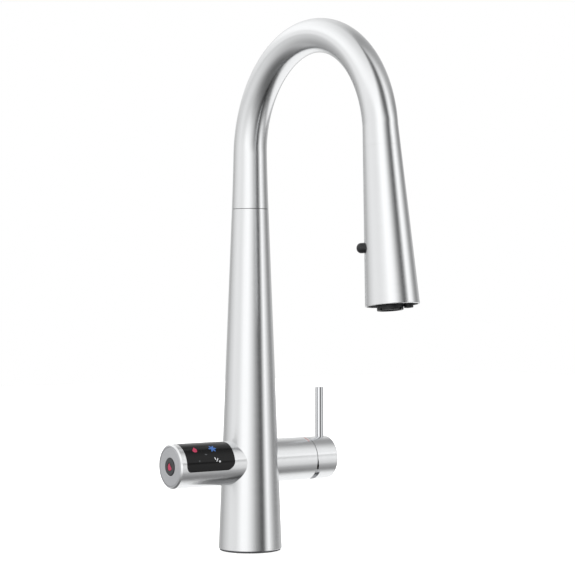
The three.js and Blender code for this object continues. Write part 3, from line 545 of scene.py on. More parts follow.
# %% Spray shell
RIM = -DOCK - HEAD_LENGTH
BUTTON_AT = RIM + 43.7
FACE_FOOT = RIM + 0.15
FACE_RADIUS = leg_radius(-RIM) - 1.3
AERATOR_OFFSET, NOZZLE_OFFSET = 1.8, -11.8
AERATOR_FOOT, NOZZLE_FOOT = RIM - 3.6, RIM - 2.4
AERATOR_RADIUS, AERATOR_BORE = 9.8, 8
NOZZLE_RADIUS, NOZZLE_BORE = 3.45, 1.9
MESH_RADIUS, RING_PITCH = 7.9, 1.97
SHELL_BORE, SHELL_WALL = 11.9, 2
HEAD_MAP_RADIUS = 19
HEAD_BUTTON_RADIUS, HEAD_BUTTON_RISE, DOME = 3.85, 5.7, 3.4


def head_axes(y, z):
    """Axes parallel to the head's, shifted to a place in it."""
    moved = HEAD.copy()
    moved[:3, 3] = HEAD[:3, 3] + HEAD[:3, :3] @ np.array([0, y, z])
    return moved


BUTTON = axes(head_axes(0, BUTTON_AT)[:3, 3], HEAD[:3, 2], HEAD[:3, 0], HEAD[:3, 1])


def spray_shell():
    """The cone of the head, with a bore at its top and an even wall over the rest."""
    top = -DOCK - PART_GAP
    inside = FACE_RADIUS + 0.12
    profile = eased([
        (inside, RIM, 0.15), (leg_radius(-RIM), RIM, 0.55), (leg_radius(-top), top), (SHELL_BORE, top),
        (SHELL_BORE, -57), (leg_radius(60) - SHELL_WALL, -60),
        (leg_radius(-FACE_FOOT - 7) - SHELL_WALL, FACE_FOOT + 7), (inside, FACE_FOOT + 6),
    ], 0)
    shell = turned("spray_shell_skin", profile, LEG, 192)
    combine(shell, turned("drill", rod(8, 24, HEAD_BUTTON_RADIUS + 0.2), BUTTON, 64))
    outside = cone_surface(LEG, lambda height: leg_radius(-height), -LEG_TAPER)
    shade_by_formula(shell, [(outside, HEAD_MAP_RADIUS, 0)], [LEG, BUTTON])
    return shell


shell = spray_shell()

# %% Face plate, aerator and outlet
def face_plate():
    """A plate in the head's mouth, with a hole for each outlet."""
    profile = eased([(0, FACE_FOOT), (FACE_RADIUS, FACE_FOOT, 0.3), (FACE_RADIUS, FACE_FOOT + 5),
                     (0, FACE_FOOT + 5)], 0)
    plate = turned("outlet_plate", profile, LEG, 144)
    holes = ((AERATOR_OFFSET, AERATOR_RADIUS), (NOZZLE_OFFSET, NOZZLE_RADIUS))
    for offset, radius in holes:
        combine(plate, turned("drill", rod(-1, 7, radius + 0.15), head_axes(offset, FACE_FOOT), 96))
    shade_by_formula(plate, [], [LEG])
    return plate


def aerator_housing():
    """A ring with four notches in its lower edge, for a key."""
    place = head_axes(AERATOR_OFFSET, AERATOR_FOOT)
    profile = [(AERATOR_BORE, 0), (AERATOR_RADIUS, 0, 0.6), (AERATOR_RADIUS, 6.5), (AERATOR_BORE, 6.5)]
    ring = turned("aerator_ring", eased(profile, 0.25), place, 144)
    outline = np.array([(8.9, -1.1), (11, -1.1), (11, 1.1), (8.9, 1.1)])
    for quarter in range(4):
        notch = turned_about_z(place, quarter * np.pi / 2 + np.pi / 4)
        combine(ring, prism("notch", outline, -1, 1.6, notch))
    outside = cone_surface(place, lambda height: AERATOR_RADIUS)
    shade_by_formula(ring, [(outside, AERATOR_RADIUS, 0)], [place])
    return ring


def aerator_insert():
    """Rings under the mesh: a wave of (radius, height) whose crests are the rings."""
    radius = np.linspace(0, MESH_RADIUS, 80)
    height = 1.7 - 0.75 * np.clip(np.cos(radius * 2 * np.pi / RING_PITCH) * 1.6, -1, 1)
    profile = np.concatenate([np.column_stack([radius, height]), [(MESH_RADIUS, 6), (0, 6)]])
    return turned("aerator_rings", profile, head_axes(AERATOR_OFFSET, AERATOR_FOOT), 96)


def filtered_outlet():
    """A short tube with eased edges."""
    profile = [(NOZZLE_BORE, 0), (NOZZLE_RADIUS, 0, 0.5), (NOZZLE_RADIUS, 6), (NOZZLE_BORE, 6)]
    return turned("filtered_outlet", eased(profile, 0.3), head_axes(NOZZLE_OFFSET, NOZZLE_FOOT), 72)


def spray_button():
    """A moulded button: a stem and a dome, the point (r cos a, h sin a) of a quarter ellipse."""
    end = leg_radius(-BUTTON_AT) + HEAD_BUTTON_RISE
    a = np.linspace(0, np.pi / 2, 16)
    dome = np.column_stack([HEAD_BUTTON_RADIUS * np.cos(a), end - DOME + DOME * np.sin(a)])
    dome[-1, 0] = 0
    stem = [(0, 10.6), (HEAD_BUTTON_RADIUS, 10.6)]
    return turned("spray_button_cap", np.concatenate([stem, dome]), BUTTON, 72)


outlet_plate, aerator_ring, aerator_rings = face_plate(), aerator_housing(), aerator_insert()
outlet, head_button = filtered_outlet(), spray_button()
print("spray head pieces made")

# %% [markdown]
# ## The mixer handle and its pin
# The handle is a cap over the cartridge. Its rim is cut back underneath so that it can tip, which
# shows as a dark notch, and the pin stands in a hole bored in its top.

# %% Mixer handle
NOTCH = axes([0, 0, ARM_HEIGHT], [0, 0, 1], [1, 0, 0], [0, 1, 0])
PIN = axes([PIN_AT, 0, ARM_HEIGHT], [1, 0, 0], [0, 1, 0], [0, 0, 1])
RIM_FOOT = MIXER_SEAM + 0.5
HANDLE_BORE, HANDLE_WALL = 15.4, 10.5
PIN_RADIUS, PIN_FOOT = 3.5, 10.8


def notch_outline():
    """A slanting cut that runs into a quarter round: (up, along) points."""
    t = np.linspace(0, 1, 12)[:, None]
    bend = (1 - t) ** 2 * [-8, 1.9] + 2 * t * (1 - t) * [-9.6, 4.3] + t ** 2 * [-12, 4.3]
    straight = np.array([(-ARM_RADIUS - 1, 4.3), (-ARM_RADIUS - 1, -1), (1, -1), (1, 0)])
    return np.concatenate([bend, straight]) + [0, RIM_FOOT]


def mixer_handle():
    """A cap with a thick end, less the cut under its rim and the hole for the pin."""
    inner_end = MIXER_END - HANDLE_WALL
    profile = eased([
        (0, inner_end), (HANDLE_BORE, inner_end), (HANDLE_BORE, RIM_FOOT), (ARM_RADIUS, RIM_FOOT, 0.25),
        (ARM_RADIUS, MIXER_END, 0.9), (0, MIXER_END),
    ], 0)
    handle = turned("mixer_handle", profile, MIXER, 208)
    combine(handle, prism("notch", notch_outline(), -ARM_RADIUS - 1, ARM_RADIUS + 1, NOTCH))
    combine(handle, turned("drill", rod(10.5, 22, PIN_RADIUS + 0.12), PIN, 72))
    shade_by_formula(handle, [(arm_look, ARM_RADIUS, 0)], [MIXER, PIN])
    return handle


handle = mixer_handle()
pin_rise = PIN_TOP - ARM_HEIGHT
pin_profile = [(0, PIN_FOOT), (PIN_RADIUS, PIN_FOOT), (PIN_RADIUS, pin_rise, 0.45), (0, pin_rise)]
lever_pin = turned("mixer_pin", eased(pin_profile, 0), PIN, 96)
print("mixer handle and pin made")

# %% [markdown]
# ## The control arm's end, its button and the glass
# The end is a turned disc round a button. The glass is a piece of tube with a rounded outline:
# its rows shrink from the outline to a point, and the tube's own formula lifts every point to
# its radius, so front, edge and back are one closed surface.

# %% End disc and button
DISC_BORE, DISC_SEAT = 7.2, CONTROL_END - 2.8
BUTTON_FACE = CONTROL_END + 0.5
WINDOW_RADIUS = 3.5
disc_profile = [(DISC_BORE, DISC_SEAT), (CAP_RADIUS, DISC_SEAT), (CAP_RADIUS, CONTROL_END, 0.3),
                (DISC_BORE, CONTROL_END, 0.35)]
end_disc = turned("end_disc", eased(disc_profile, 0), CONTROL, 144)

# heights below the button's face: a short stem, a flange that holds it in, the cap, a recess
button_profile = [(0, 4.9), (2.4, 4.9), (2.4, 4.1), (9, 4.1), (9, 3.6), (7, 3.6), (7, 0, 0.5),
                  (3.55, 0, 0.12), (3.55, 1.5), (0, 1.5)]
button_profile = [(radius, BUTTON_FACE - below, *ease) for radius, below, *ease in button_profile]
boil_button = turned("boil_button_cap", eased(button_profile, 0), CONTROL, 96)
window_profile = [(0, BUTTON_FACE - 1.4), (WINDOW_RADIUS, BUTTON_FACE - 1.4),
                  (WINDOW_RADIUS, BUTTON_FACE - 0.04, 0.15), (0, BUTTON_FACE - 0.04)]
button_window = turned("boil_button_window", eased(window_profile, 0), CONTROL, 72)
seal_profile = [(16.6, 0), (25.1, 0, 0.3), (25.1, SEAL_TOP), (16.6, SEAL_TOP)]
seal = turned("foot_seal", eased(seal_profile, 0), COLUMN, 128)
print("end disc, button and seal made")


# %% Closed patches
def patch(name, rows):
    """Rows of points in metres, first and last of one point each, joined into a closed surface."""
    pole = np.array([len(row) == 1 for row in rows])
    corners, keep, *_ = grid_faces(pole, len(rows[1]))
    points = np.concatenate(rows)
    return add_piece(name, points, corners, keep, np.zeros(corners.shape + (3,)), points[corners][..., :2])


def on_tube(along, angle, radius, matrix):
    """Points on a tube about the z axis of the given axes, at a distance along and an angle."""
    own = np.stack([radius * np.cos(angle), radius * np.sin(angle), along + 0 * angle], -1)
    return carry(own, matrix)


# %% Touch glass
GLASS_RADIUS = ARM_RADIUS - 0.1
GLASS_INSIDE = GLASS_RADIUS - 1.7


def touch_glass():
    """Rows of the panel's outline, shrunk towards its middle and lifted to the tube: a point
    across the panel by c lies at sqrt(r^2 - c^2) in front of the arm's axis."""
    middle = np.array([(PANEL_START + PANEL_END) / 2, 0])
    spread = np.linspace(0, 1, 26)[1:]
    steps = [(s, GLASS_RADIUS, 0.2) for s in spread[:-1]]
    steps += [(1, GLASS_RADIUS, 0.2), (1, GLASS_RADIUS - 0.06, 0.06), (1, GLASS_RADIUS - 0.2, 0)]
    steps += [(1, GLASS_INSIDE, 0)] + [(s, GLASS_INSIDE, 0) for s in spread[::-1][1::3]]
    rows = []
    for share, radius, inset in steps:
        flat = middle + (panel_outline(0.12 + inset, 24) - middle) * share
        rows.append(np.column_stack([flat, np.sqrt(radius ** 2 - flat[:, 1] ** 2)]))
    rows = [np.array([[middle[0], 0, GLASS_RADIUS]])] + rows + [np.array([[middle[0], 0, GLASS_INSIDE]])]
    return patch("panel_glass", [carry(row, PANEL) for row in rows])


glass = touch_glass()
shade_by_formula(glass, [(cone_surface(CONTROL, lambda height: GLASS_RADIUS), GLASS_RADIUS, 0)], [CONTROL])

# %% [markdown]
# ## Marks on the glass and the housing
# The icons are lit from behind on the real panel. They are generic signs: a flame, a frost star, a
# leaf on a stem with a dot, and two faint marks. Each is a thin closed patch that lies on the tube,
# so it follows the curve. The housing has a printed line, red on its hot side and blue on its cold.

# %% Outlines of the marks
def drop(width, height, lean=0.0, count=48):
    """A drop with its tip up: (w sin a sin(a/2)^1.4, h cos a), its tip swung sideways by lean."""
    a = np.arange(count) * 2 * np.pi / count
    x, y = width * np.sin(a) * np.abs(np.sin(a / 2)) ** 1.4, height * np.cos(a)
    return np.stack([x + lean * width * np.sin(np.pi * y / height), y], 1)


def oval(width, height, lean=0.0, count=32):
    """An ellipse (w cos a, h sin a), sheared sideways by lean."""
    a = np.arange(count) * 2 * np.pi / count
    x, y = width * np.cos(a), height * np.sin(a)
    return np.stack([x + lean * y, y], 1)


def star(radius, count=72):
    """A soft star with six points, as for frost: r = R (0.72 + 0.28 cos 6a)."""
    a = np.arange(count) * 2 * np.pi / count
    r = radius * (0.72 + 0.28 * np.cos(6 * a))
    return np.stack([r * np.cos(a), r * np.sin(a)], 1)


SKIN = 0.05


def mark(name, outline, along, angle, radius, matrix, lift=0.03):
    """Lays an outline (along the arm, round it) on a tube, as a patch that is proud by lift."""
    rows = []
    shares = np.linspace(0, 1, 9)
    for share, height in [(s, lift) for s in shares] + [(s, -SKIN) for s in shares[::-1]]:
        flat = outline * share if share else np.zeros((1, 2))
        rows.append(on_tube(along + flat[:, 0], angle + flat[:, 1] / radius, radius + height, matrix))
    piece = patch(name, rows)
    shade_by_formula(piece, [(cone_surface(matrix, lambda height: radius + lift), radius, 0)])
    return piece


def panel_mark(name, outline, along, above_front):
    """A mark on the glass, at a distance along the arm and an angle above the front."""
    angle = np.radians(above_front - 90)
    return mark(name, outline * [-1, 1], along, angle, GLASS_RADIUS, CONTROL)


def flat_mark(name, outline, height, matrix):
    """A mark on a flat face: the outline (x, y) at a height along the axes' z."""
    rows = []
    for share, z in ((0, height), (0.5, height), (1, height), (1, height - SKIN), (0, height - SKIN)):
        flat = outline * share if share else np.zeros((1, 2))
        rows.append(carry(np.column_stack([flat, np.full(len(flat), z)]), matrix))
    piece = patch(name, rows)
    shade_by_formula(piece, [])
    return piece


def housing_line(name, low, high):
    """A thin line round the mixer housing, between two angles above the front."""
    angle = np.radians(90 - (low + high) / 2)
    half = np.radians(high - low) / 2 * ARM_RADIUS
    return mark(name, oval(0.28, half), MIXER_SEAM - 3.3, angle, ARM_RADIUS, MIXER)


# %% The marks
# name and finish, then the outline, its distance along the arm and its angle above the front
PANEL_MARKS = [
    ("icon_flame", "crimson_mark", drop(2.9, 2.8, 0.1), 61.3, 50),
    ("icon_frost", "frost_mark", star(3.6), 44.4, 50.5),
    ("icon_leaf", "white_mark", oval(0.5, 1.15, -0.3), 45, 20.5),
    ("icon_stem", "white_mark", oval(0.5, 1.5, 0.55), 43.2, 16.5),
    ("icon_dot", "white_mark", oval(0.8, 0.8), 41, 12),
    ("icon_faint_line", "grey_mark", oval(1.2, 0.6), 52.6, 33),
    ("icon_faint_dot", "grey_mark", oval(0.7, 0.7), 60, 16),
]
panel_marks = [(panel_mark(name, *place), finish) for name, finish, *place in PANEL_MARKS]
button_flame = flat_mark("button_flame", drop(3.6, 3.0, 0.12)[:, ::-1], BUTTON_FACE, CONTROL)
hot_line, cold_line = housing_line("line_hot", 54, 84), housing_line("line_cold", 96, 126)
print(len(panel_marks) + 3, "marks made")

# %% [markdown]
# ## The hose
# The hose lies in the spout and in the column, and only shows when the head is pulled out. Its upper part
# goes with the spout. The short straight part between the spout and the head is a piece of its own. Its
# braid is mapped at the length that the pull gives it, so it is squeezed at rest.

# %% Hose in two parts
HOSE_RADIUS = 6.6
BRAID_DEPTH = 0.12
SWELL, SWELL_RATE = 0.1, 2.4
PULL = 180.0
HOSE_FOOT = SEAL_TOP + 0.4 - NECK_FOOT
HOSE_JOIN = ARCH_END - 12
HOSE_END = ARCH_END + DOCK - 16 + 3.7


def hose_part(name, low, high, rows, swell):
    """A braided tube: its skin swells and shrinks a little along its length, as a sine."""
    at = np.linspace(low, high, rows)
    skin = np.column_stack([HOSE_RADIUS - BRAID_DEPTH + swell * np.sin(at * SWELL_RATE), at])
    return swept(name, np.concatenate([[(0, low)], skin, [(0, high)]]), spout_frame, 40)


hose_upper = hose_part("hose_upper", HOSE_FOOT, HOSE_JOIN, 700, SWELL)
hose_lower = hose_part("hose_lower", HOSE_JOIN, HOSE_END, 90, 0)

# the map's U runs along the hose, and is drawn out as far as the pull draws out the lower part
brush = hose_lower.data.uv_layers["brush"].uv
drawn_out = read(brush, "vector", 2, np.float32)
drawn_out[:, 0] *= 1 + PULL / (HOSE_END - HOSE_JOIN)
brush.foreach_set("vector", drawn_out.ravel())
print("hose made")

# %% [markdown]
# ## Springs
# Behind each button is a coil spring: with n turns, c(t) = R (cos 2 pi n t, sin 2 pi n t), and it rises
# evenly with t. It takes its radius and length from the skeleton's, and sits between the button and what
# carries it.

# %% Springs
WIRE = 0.3
TURNS = 3


def spring(name, matrix):
    """A coil spring along the z of the given axes, and the two ends of its axis."""
    node = frame["nodes"][name]
    points = np.array([node.matrix_world @ v.co for v in node.data.vertices]) / MM
    local = (points - matrix[:3, 3]) @ matrix[:3, :3]
    radius = np.hypot(local[:, 0], local[:, 1]).max() - WIRE
    low, high = local[:, 2].min(), local[:, 2].max()
    rise = high - low - 2 * WIRE
    x, y, z = matrix[:3, :3].T

    def helix(t):
        angle = 2 * np.pi * TURNS * t[:, None]
        out = np.cos(angle) * x + np.sin(angle) * y
        along = 2 * np.pi * TURNS * radius * (np.cos(angle) * y - np.sin(angle) * x) + rise * z
        along /= np.linalg.norm(along, axis=1)[:, None]
        centre = matrix[:3, 3] + radius * out + (low + WIRE + rise * t)[:, None] * z
        return centre, out, np.cross(along, out), along

    wire = [(WIRE, t) for t in np.linspace(0, 1, 97)]
    coil = swept(name + "_coil", [(0, 0)] + wire + [(0, 1)], helix, 12)
    return coil, carry(np.array([(0, 0, low), (0, 0, high)]), matrix)


# the spring's node, the body that carries it, its button's body and its axes
SPRINGS = [("spray_button_spring", "spray_head", "spray_button", BUTTON),
           ("boil_button_spring", "tap_body", "boil_button", CONTROL)]
springs = [(name, base, button, *spring(name, matrix)) for name, base, button, matrix in SPRINGS]
print(len(springs), "springs made")

# %% [markdown]
# ## Materials
# Every finish is worked out in the shader, with sizes in metres of the object. The steel follows
# its brush map: the map's U runs across the brush lines, so the noise is squeezed in U and drawn
# out in V, and the shader's own anisotropy spreads highlights across the lines. Paint and plastic
# take an even grain in object coordinates.

# %% Helpers for shader nodes
def linear(code):
    """A colour written as sRGB hex, as the linear values that a shader takes."""
    channels = [int(code[k:k + 2], 16) / 255 for k in (1, 3, 5)]
    return [c / 12.92 if c <= 0.04045 else ((c + 0.055) / 1.055) ** 2.4 for c in channels] + [1.0]


def connect(tree, node, inputs):
    """Gives sockets, by name or number, a value or a link from a socket or a node's first output."""
    for key, value in dict(inputs).items():
        if isinstance(value, bpy.types.Node):
            value = value.outputs[0]
        if isinstance(value, bpy.types.NodeSocket):
            tree.links.new(value, node.inputs[key])
        else:
            node.inputs[key].default_value = value


def add_node(tree, kind, inputs=(), **settings):
    """Adds a node with its settings, its values and its links."""
    node = tree.nodes.new(kind)
    for key, value in settings.items():
        setattr(node, key, value)
    connect(tree, node, inputs)
    return node


def empty_tree(block):
    """Turns on the nodes of a material or a world, and clears them."""
    block.use_nodes = True
    block.node_tree.nodes.clear()
    return block.node_tree


def new_material(name, colour, roughness, metallic=0.0, **inputs):
    """A material with one principled shader, and the tree to add to."""
    material = bpy.data.materials.new(name)
    tree = empty_tree(material)
    values = {"Base Color": linear(colour), "Roughness": roughness, "Metallic": metallic}
    shader = add_node(tree, "ShaderNodeBsdfPrincipled", {**values, **inputs})
    add_node(tree, "ShaderNodeOutputMaterial", {"Surface": shader})
    return material, tree, shader


def vary(tree, shader, socket, noise, low, high):
    """Drives a shader's value by a noise, between low and high."""
    limits = {"Value": noise, "From Min": 0.3, "From Max": 0.7, "To Min": low, "To Max": high}
    connect(tree, shader, {socket: add_node(tree, "ShaderNodeMapRange", limits)})


# %% Brushed and turned steel
def brushed(name, colour, roughness, spread, line, length):
    """Metal with brush lines of a given width and length in millimetres, along the map's V."""
    material, tree, shader = new_material(name, colour, roughness, 1.0, Anisotropic=spread)
    place = add_node(tree, "ShaderNodeUVMap", uv_map="brush")
    noises = []
    for width in (line, line * 5):
        scale = (1 / (width * MM), 1 / (length * MM), 1)
        squeezed = add_node(tree, "ShaderNodeMapping", {"Vector": place, "Scale": scale})
        noise = {"Vector": squeezed, "Scale": 1.0, "Detail": 2.0}
        noises.append(add_node(tree, "ShaderNodeTexNoise", noise))
    fine, coarse = noises
    both = add_node(tree, "ShaderNodeMath", {0: fine, 1: coarse}, operation="ADD")
    half = add_node(tree, "ShaderNodeMath", {0: both, 1: 0.5}, operation="MULTIPLY")
    vary(tree, shader, "Roughness", half, roughness - 0.03, roughness + 0.04)
    base = np.array(linear(colour))
    dulled = base * [0.93, 0.93, 0.93, 1]
    shade = add_node(tree, "ShaderNodeMix", {"Factor": half, "A": dulled, "B": base}, data_type="RGBA")
    relief = add_node(tree, "ShaderNodeBump", {"Height": coarse, "Strength": 0.4, "Distance": 0.004 * MM})
    tangent = add_node(tree, "ShaderNodeTangent", direction_type="UV_MAP", uv_map="brush")
    connect(tree, shader, {"Base Color": shade.outputs["Result"], "Normal": relief, "Tangent": tangent})
    return material


# %% Even finishes
def grained(name, colour, roughness, grain, relief, metallic=0.0, **inputs):
    """A finish with an even grain. The grain and its relief are in millimetres."""
    material, tree, shader = new_material(name, colour, roughness, metallic, **inputs)
    place = add_node(tree, "ShaderNodeTexCoord").outputs["Object"]
    noise = add_node(tree, "ShaderNodeTexNoise", {"Vector": place, "Scale": 1 / (grain * MM), "Detail": 3.0})
    vary(tree, shader, "Roughness", noise, roughness * 0.85, min(1.0, roughness * 1.15))
    bump = add_node(tree, "ShaderNodeBump", {"Height": noise, "Strength": 0.5, "Distance": relief * MM})
    connect(tree, shader, {"Normal": bump})
    return material


# a wave repeats every 2 pi / 20 of its unit, which here is a wire every 1.75 mm
WIRE_SCALE = 180.0
TRACK_SCALE = 600.0


def braid():
    """A braid of steel wire: two sets of lines that cross, each a wave over the map's sum or
    difference, so that they run at an angle round the hose."""
    material, tree, shader = new_material("stainless braid", "#b9bbbe", 0.35, 1.0)
    place = add_node(tree, "ShaderNodeUVMap", uv_map="brush")
    waves = []
    for turn in (np.pi / 4, -np.pi / 4):
        turned_map = add_node(tree, "ShaderNodeMapping", {"Vector": place, "Rotation": (0, 0, turn)})
        wave = add_node(tree, "ShaderNodeTexWave", {"Vector": turned_map, "Scale": WIRE_SCALE})
        waves.append(wave.outputs["Fac"])
    crossed = add_node(tree, "ShaderNodeMath", {0: waves[0], 1: waves[1]}, operation="MAXIMUM")
    vary(tree, shader, "Roughness", crossed, 0.5, 0.28)
    bump = add_node(tree, "ShaderNodeBump", {"Height": crossed, "Strength": 1.0, "Distance": 0.2 * MM})
    connect(tree, shader, {"Normal": bump})
    return material


def circuit():
    """A green board with paler tracks: bricks of 0.8 by 0.4 mm, which are half and a quarter of the
    pattern's unit."""
    material, tree, shader = new_material("solder mask", "#1c5a34", 0.4)
    place = add_node(tree, "ShaderNodeTexCoord").outputs["Object"]
    colours = {"Color1": linear("#1c5a34"), "Color2": linear("#20663b"), "Mortar": linear("#5c9a63")}
    tracks = add_node(tree, "ShaderNodeTexBrick", {"Vector": place, "Scale": TRACK_SCALE, **colours})
    connect(tree, shader, {"Base Color": tracks})
    return material


# %% One material for each finish
FINISHES = {
    # fine lines that stretch every highlight across them
    "brushed_steel": brushed("brushed stainless steel", "#e4e5e6", 0.23, 0.6, 0.25, 30),
    "turned_steel": brushed("turned stainless steel", "#d2d3d6", 0.2, 0.75, 0.35, 60),
    # buffed: it mirrors the room; the wire is drawn, and duller
    "polished_steel": grained("polished stainless steel", "#dfe0e2", 0.06, 3, 0.0005, 1.0),
    "spring_steel": grained("spring steel", "#b4b6ba", 0.25, 0.6, 0.002, 1.0),
    "brass": grained("machined brass", "#c9a659", 0.28, 0.5, 0.003, 1.0),
    # soft and matt, then moulded with a slight sheen, as the grain breaks up the highlight
    "black_rubber": grained("EPDM rubber", "#1a1b1c", 0.7, 0.4, 0.01),
    "black_plastic": grained("black moulded plastic", "#1d1e20", 0.42, 0.3, 0.004),
    "grey_plastic": grained("grey moulded plastic", "#55575a", 0.4, 0.3, 0.004),
    "white_plastic": grained("white acetal", "#e9e8e2", 0.4, 0.4, 0.004),
    # flat and dark, with a sharp reflection
    "black_glass": grained("black glass", "#0d0d0e", 0.12, 8, 0.0004, 0.0, IOR=1.3),
    "red_lens": grained("smoked lens", "#2b1512", 0.2, 2, 0.001),
    # the insides: an etched board, lapped ceramic, plated magnet and woven wire
    "circuit_board": circuit(),
    "ceramic": grained("alumina ceramic", "#ece7dc", 0.12, 0.3, 0.0005),
    "magnet": grained("nickel plated magnet", "#9c9da1", 0.2, 1.0, 0.001, 1.0),
    "braided_hose": braid(),
    # printing ink, with no gloss of its own
    "red_mark": grained("red print", "#d8352a", 0.4, 0.5, 0.001),
    "crimson_mark": grained("crimson print", "#c9305a", 0.4, 0.5, 0.001),
    "frost_mark": grained("frost blue print", "#3f74c4", 0.4, 0.5, 0.001),
    "blue_mark": grained("blue print", "#2f9fe0", 0.4, 0.5, 0.001),
    "white_mark": grained("white print", "#e8eaec", 0.4, 0.5, 0.001),
    "grey_mark": grained("grey print", "#4a4c50", 0.4, 0.5, 0.001),
    # more plastics, for pieces that show
    "dark_grey_plastic": grained("dark grey plastic", "#36373a", 0.35, 0.3, 0.003),
    "matt_plastic": grained("matt black plastic", "#1d1e20", 0.8, 0.3, 0.004, **{"Specular IOR Level": 0.1}),
    "grey_rubber": grained("grey rubber", "#4a4b4d", 0.7, 0.4, 0.01),
}
print(len(FINISHES), "finishes")

# %% [markdown]
# ## Dress the skeleton
# Each new surface rides on the body whose node it stands for, and that node is no longer shown; the lower
# hose and the springs ride on no body. The nodes that stay visible get the finish of their slot.

# %% Rides and finishes
def dress(piece, body, finishes, nodes=()):
    """Gives a piece its finishes, its body and the nodes that it replaces."""
    for finish in [finishes] if isinstance(finishes, str) else finishes:
        piece.data.materials.append(FINISHES[finish])
    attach(piece, body)
    if nodes:
        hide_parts(*nodes)


STEEL = "brushed_steel"
dress(column, "tap_body", ["turned_steel", STEEL, STEEL], ["body_column"])
dress(seal, "tap_body", "grey_rubber", ["base_seal"])
dress(end_disc, "tap_body", "turned_steel", ["end_cap"])
dress(glass, "tap_body", "black_glass", ["touch_panel"])
dress(spout, "spout", STEEL, ["gooseneck"])
dress(shell, "spray_head", STEEL, ["spray_shell"])
dress(outlet_plate, "spray_head", "matt_plastic", ["face_plate"])
dress(aerator_ring, "spray_head", "black_plastic", ["aerator_housing"])
dress(aerator_rings, "spray_head", "dark_grey_plastic", ["aerator_insert"])
dress(outlet, "spray_head", "black_plastic", ["filtered_nozzle"])
dress(head_button, "spray_button", "black_plastic", ["spray_button"])
dress(handle, "handle", STEEL, ["handle_cap"])
dress(lever_pin, "handle", "polished_steel", ["lever_pin"])
dress(boil_button, "boil_button", "dark_grey_plastic", ["boil_button"])
dress(button_window, "boil_button", "red_lens", ["boil_button_lens"])
dress(button_flame, "boil_button", "crimson_mark")
for piece, finish in panel_marks:
    dress(piece, "tap_body", finish)
dress(hot_line, "tap_body", "red_mark")
dress(cold_line, "tap_body", "blue_mark")
dress(hose_upper, "spout", "braided_hose", ["spray_hose"])
hose_lower.data.materials.append(FINISHES["braided_hose"])
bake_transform(hose_lower)
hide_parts("spray_hose")
for name, base, button, coil, coil_ends in springs:
    coil.data.materials.append(FINISHES["spring_steel"])
    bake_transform(coil)
    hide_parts(name)

# %% Finishes of the nodes that stay
NODE_FINISH = {part["node"]: part["material_slot"] for part in frame["record"]["subparts"] if "node" in part}
# the cartridge's rotor and shell take black plastic instead of their slot's finish, so that the notch under
# the handle reads dark. This is painted shade in part, since the inside there lies in shadow
NODE_FINISH["cartridge_rotor"] = NODE_FINISH["cartridge_shell"] = "black_plastic"
for name, node in frame["nodes"].items():
    if not node.hide_render and name in NODE_FINISH:
        node.data.materials.clear()
        node.data.materials.append(FINISHES[NODE_FINISH[name]])
print(len(NODE_FINISH), "nodes in the record")

# %% [markdown]
# ## Light, floor and camera
# Steel shows its surroundings more than itself. The photo was taken in a pale room with a few dark cards,
# which give the dark bands down the column. The world holds that room as a ramp over the compass, for
# reflections only. The camera sees white, and matt surfaces get a plain level. The levels were set from the
# brightness measured along the steel in the photo.

# %% Places of the room, as (angle from the way back to the camera or height, radiance)
CAMERA_TURN = np.radians(-35.241)
HORIZON = [(-180, 0.64), (-150, 0.62), (-132, 0.5), (-110, 0.76), (-80, 1.06), (-52, 1.04), (-30, 1.46),
           (-12, 1.4), (8, 0.92), (24, 0.42), (44, 0.1), (53, 0.13), (64, 0.97), (73, 1.45), (84, 1.0),
           (100, 0.52), (114, 0.3), (130, 0.4), (142, 0.62), (155, 0.62), (180, 0.64)]
UPPER = [(-180, 0.9), (-150, 0.92), (-130, 0.9), (-112, 1.08), (-60, 1.02), (-38, 0.94), (-24, 1.06),
         (-10, 1.42), (5, 1.46), (20, 1.4), (32, 0.95), (44, 0.42), (52, 0.1), (58, 0.03), (67, 0.03),
         (71, 1.1), (75, 1.4), (92, 1.4), (104, 0.75), (117, 0.42), (130, 0.28), (142, 0.4), (180, 0.9)]
STEEP_SHADE = [(-180, 0.7), (-165, 0.8), (-145, 1), (4, 1), (17, 0.5), (32, 0.1), (50, 0.1), (62, 0.7),
               (74, 1), (86, 0.85), (97, 0.6), (118, 0.36), (152, 0.36), (180, 0.7)]
BY_HEIGHT = [(-1, 0.15), (-0.85, 0.18), (-0.75, 0.28), (-0.69, 0.33), (-0.58, 0.5), (-0.48, 0.6),
             (-0.3, 0.78), (0.3, 1.3), (0.6, 1.3), (0.8, 1.15), (0.9, 1.0), (1, 0.85)]
FADE_BELOW, UPPER_EDGE, STEEP_EDGE = 0.3, (0.09, 0.22), (0.34, 0.48)
SHIFT, SHIFT_EDGE = 14, (0.25, 0.39)
SHEET_WAY, SHEET_EDGE, SHEET_TOP, SHEET_LEVEL = (0.81, 0.36, 0.46), (0.6, 0.8), (-0.12, -0.3), 1.2
print(len(HORIZON) + len(UPPER) + len(STEEP_SHADE) + len(BY_HEIGHT), "levels in the room")


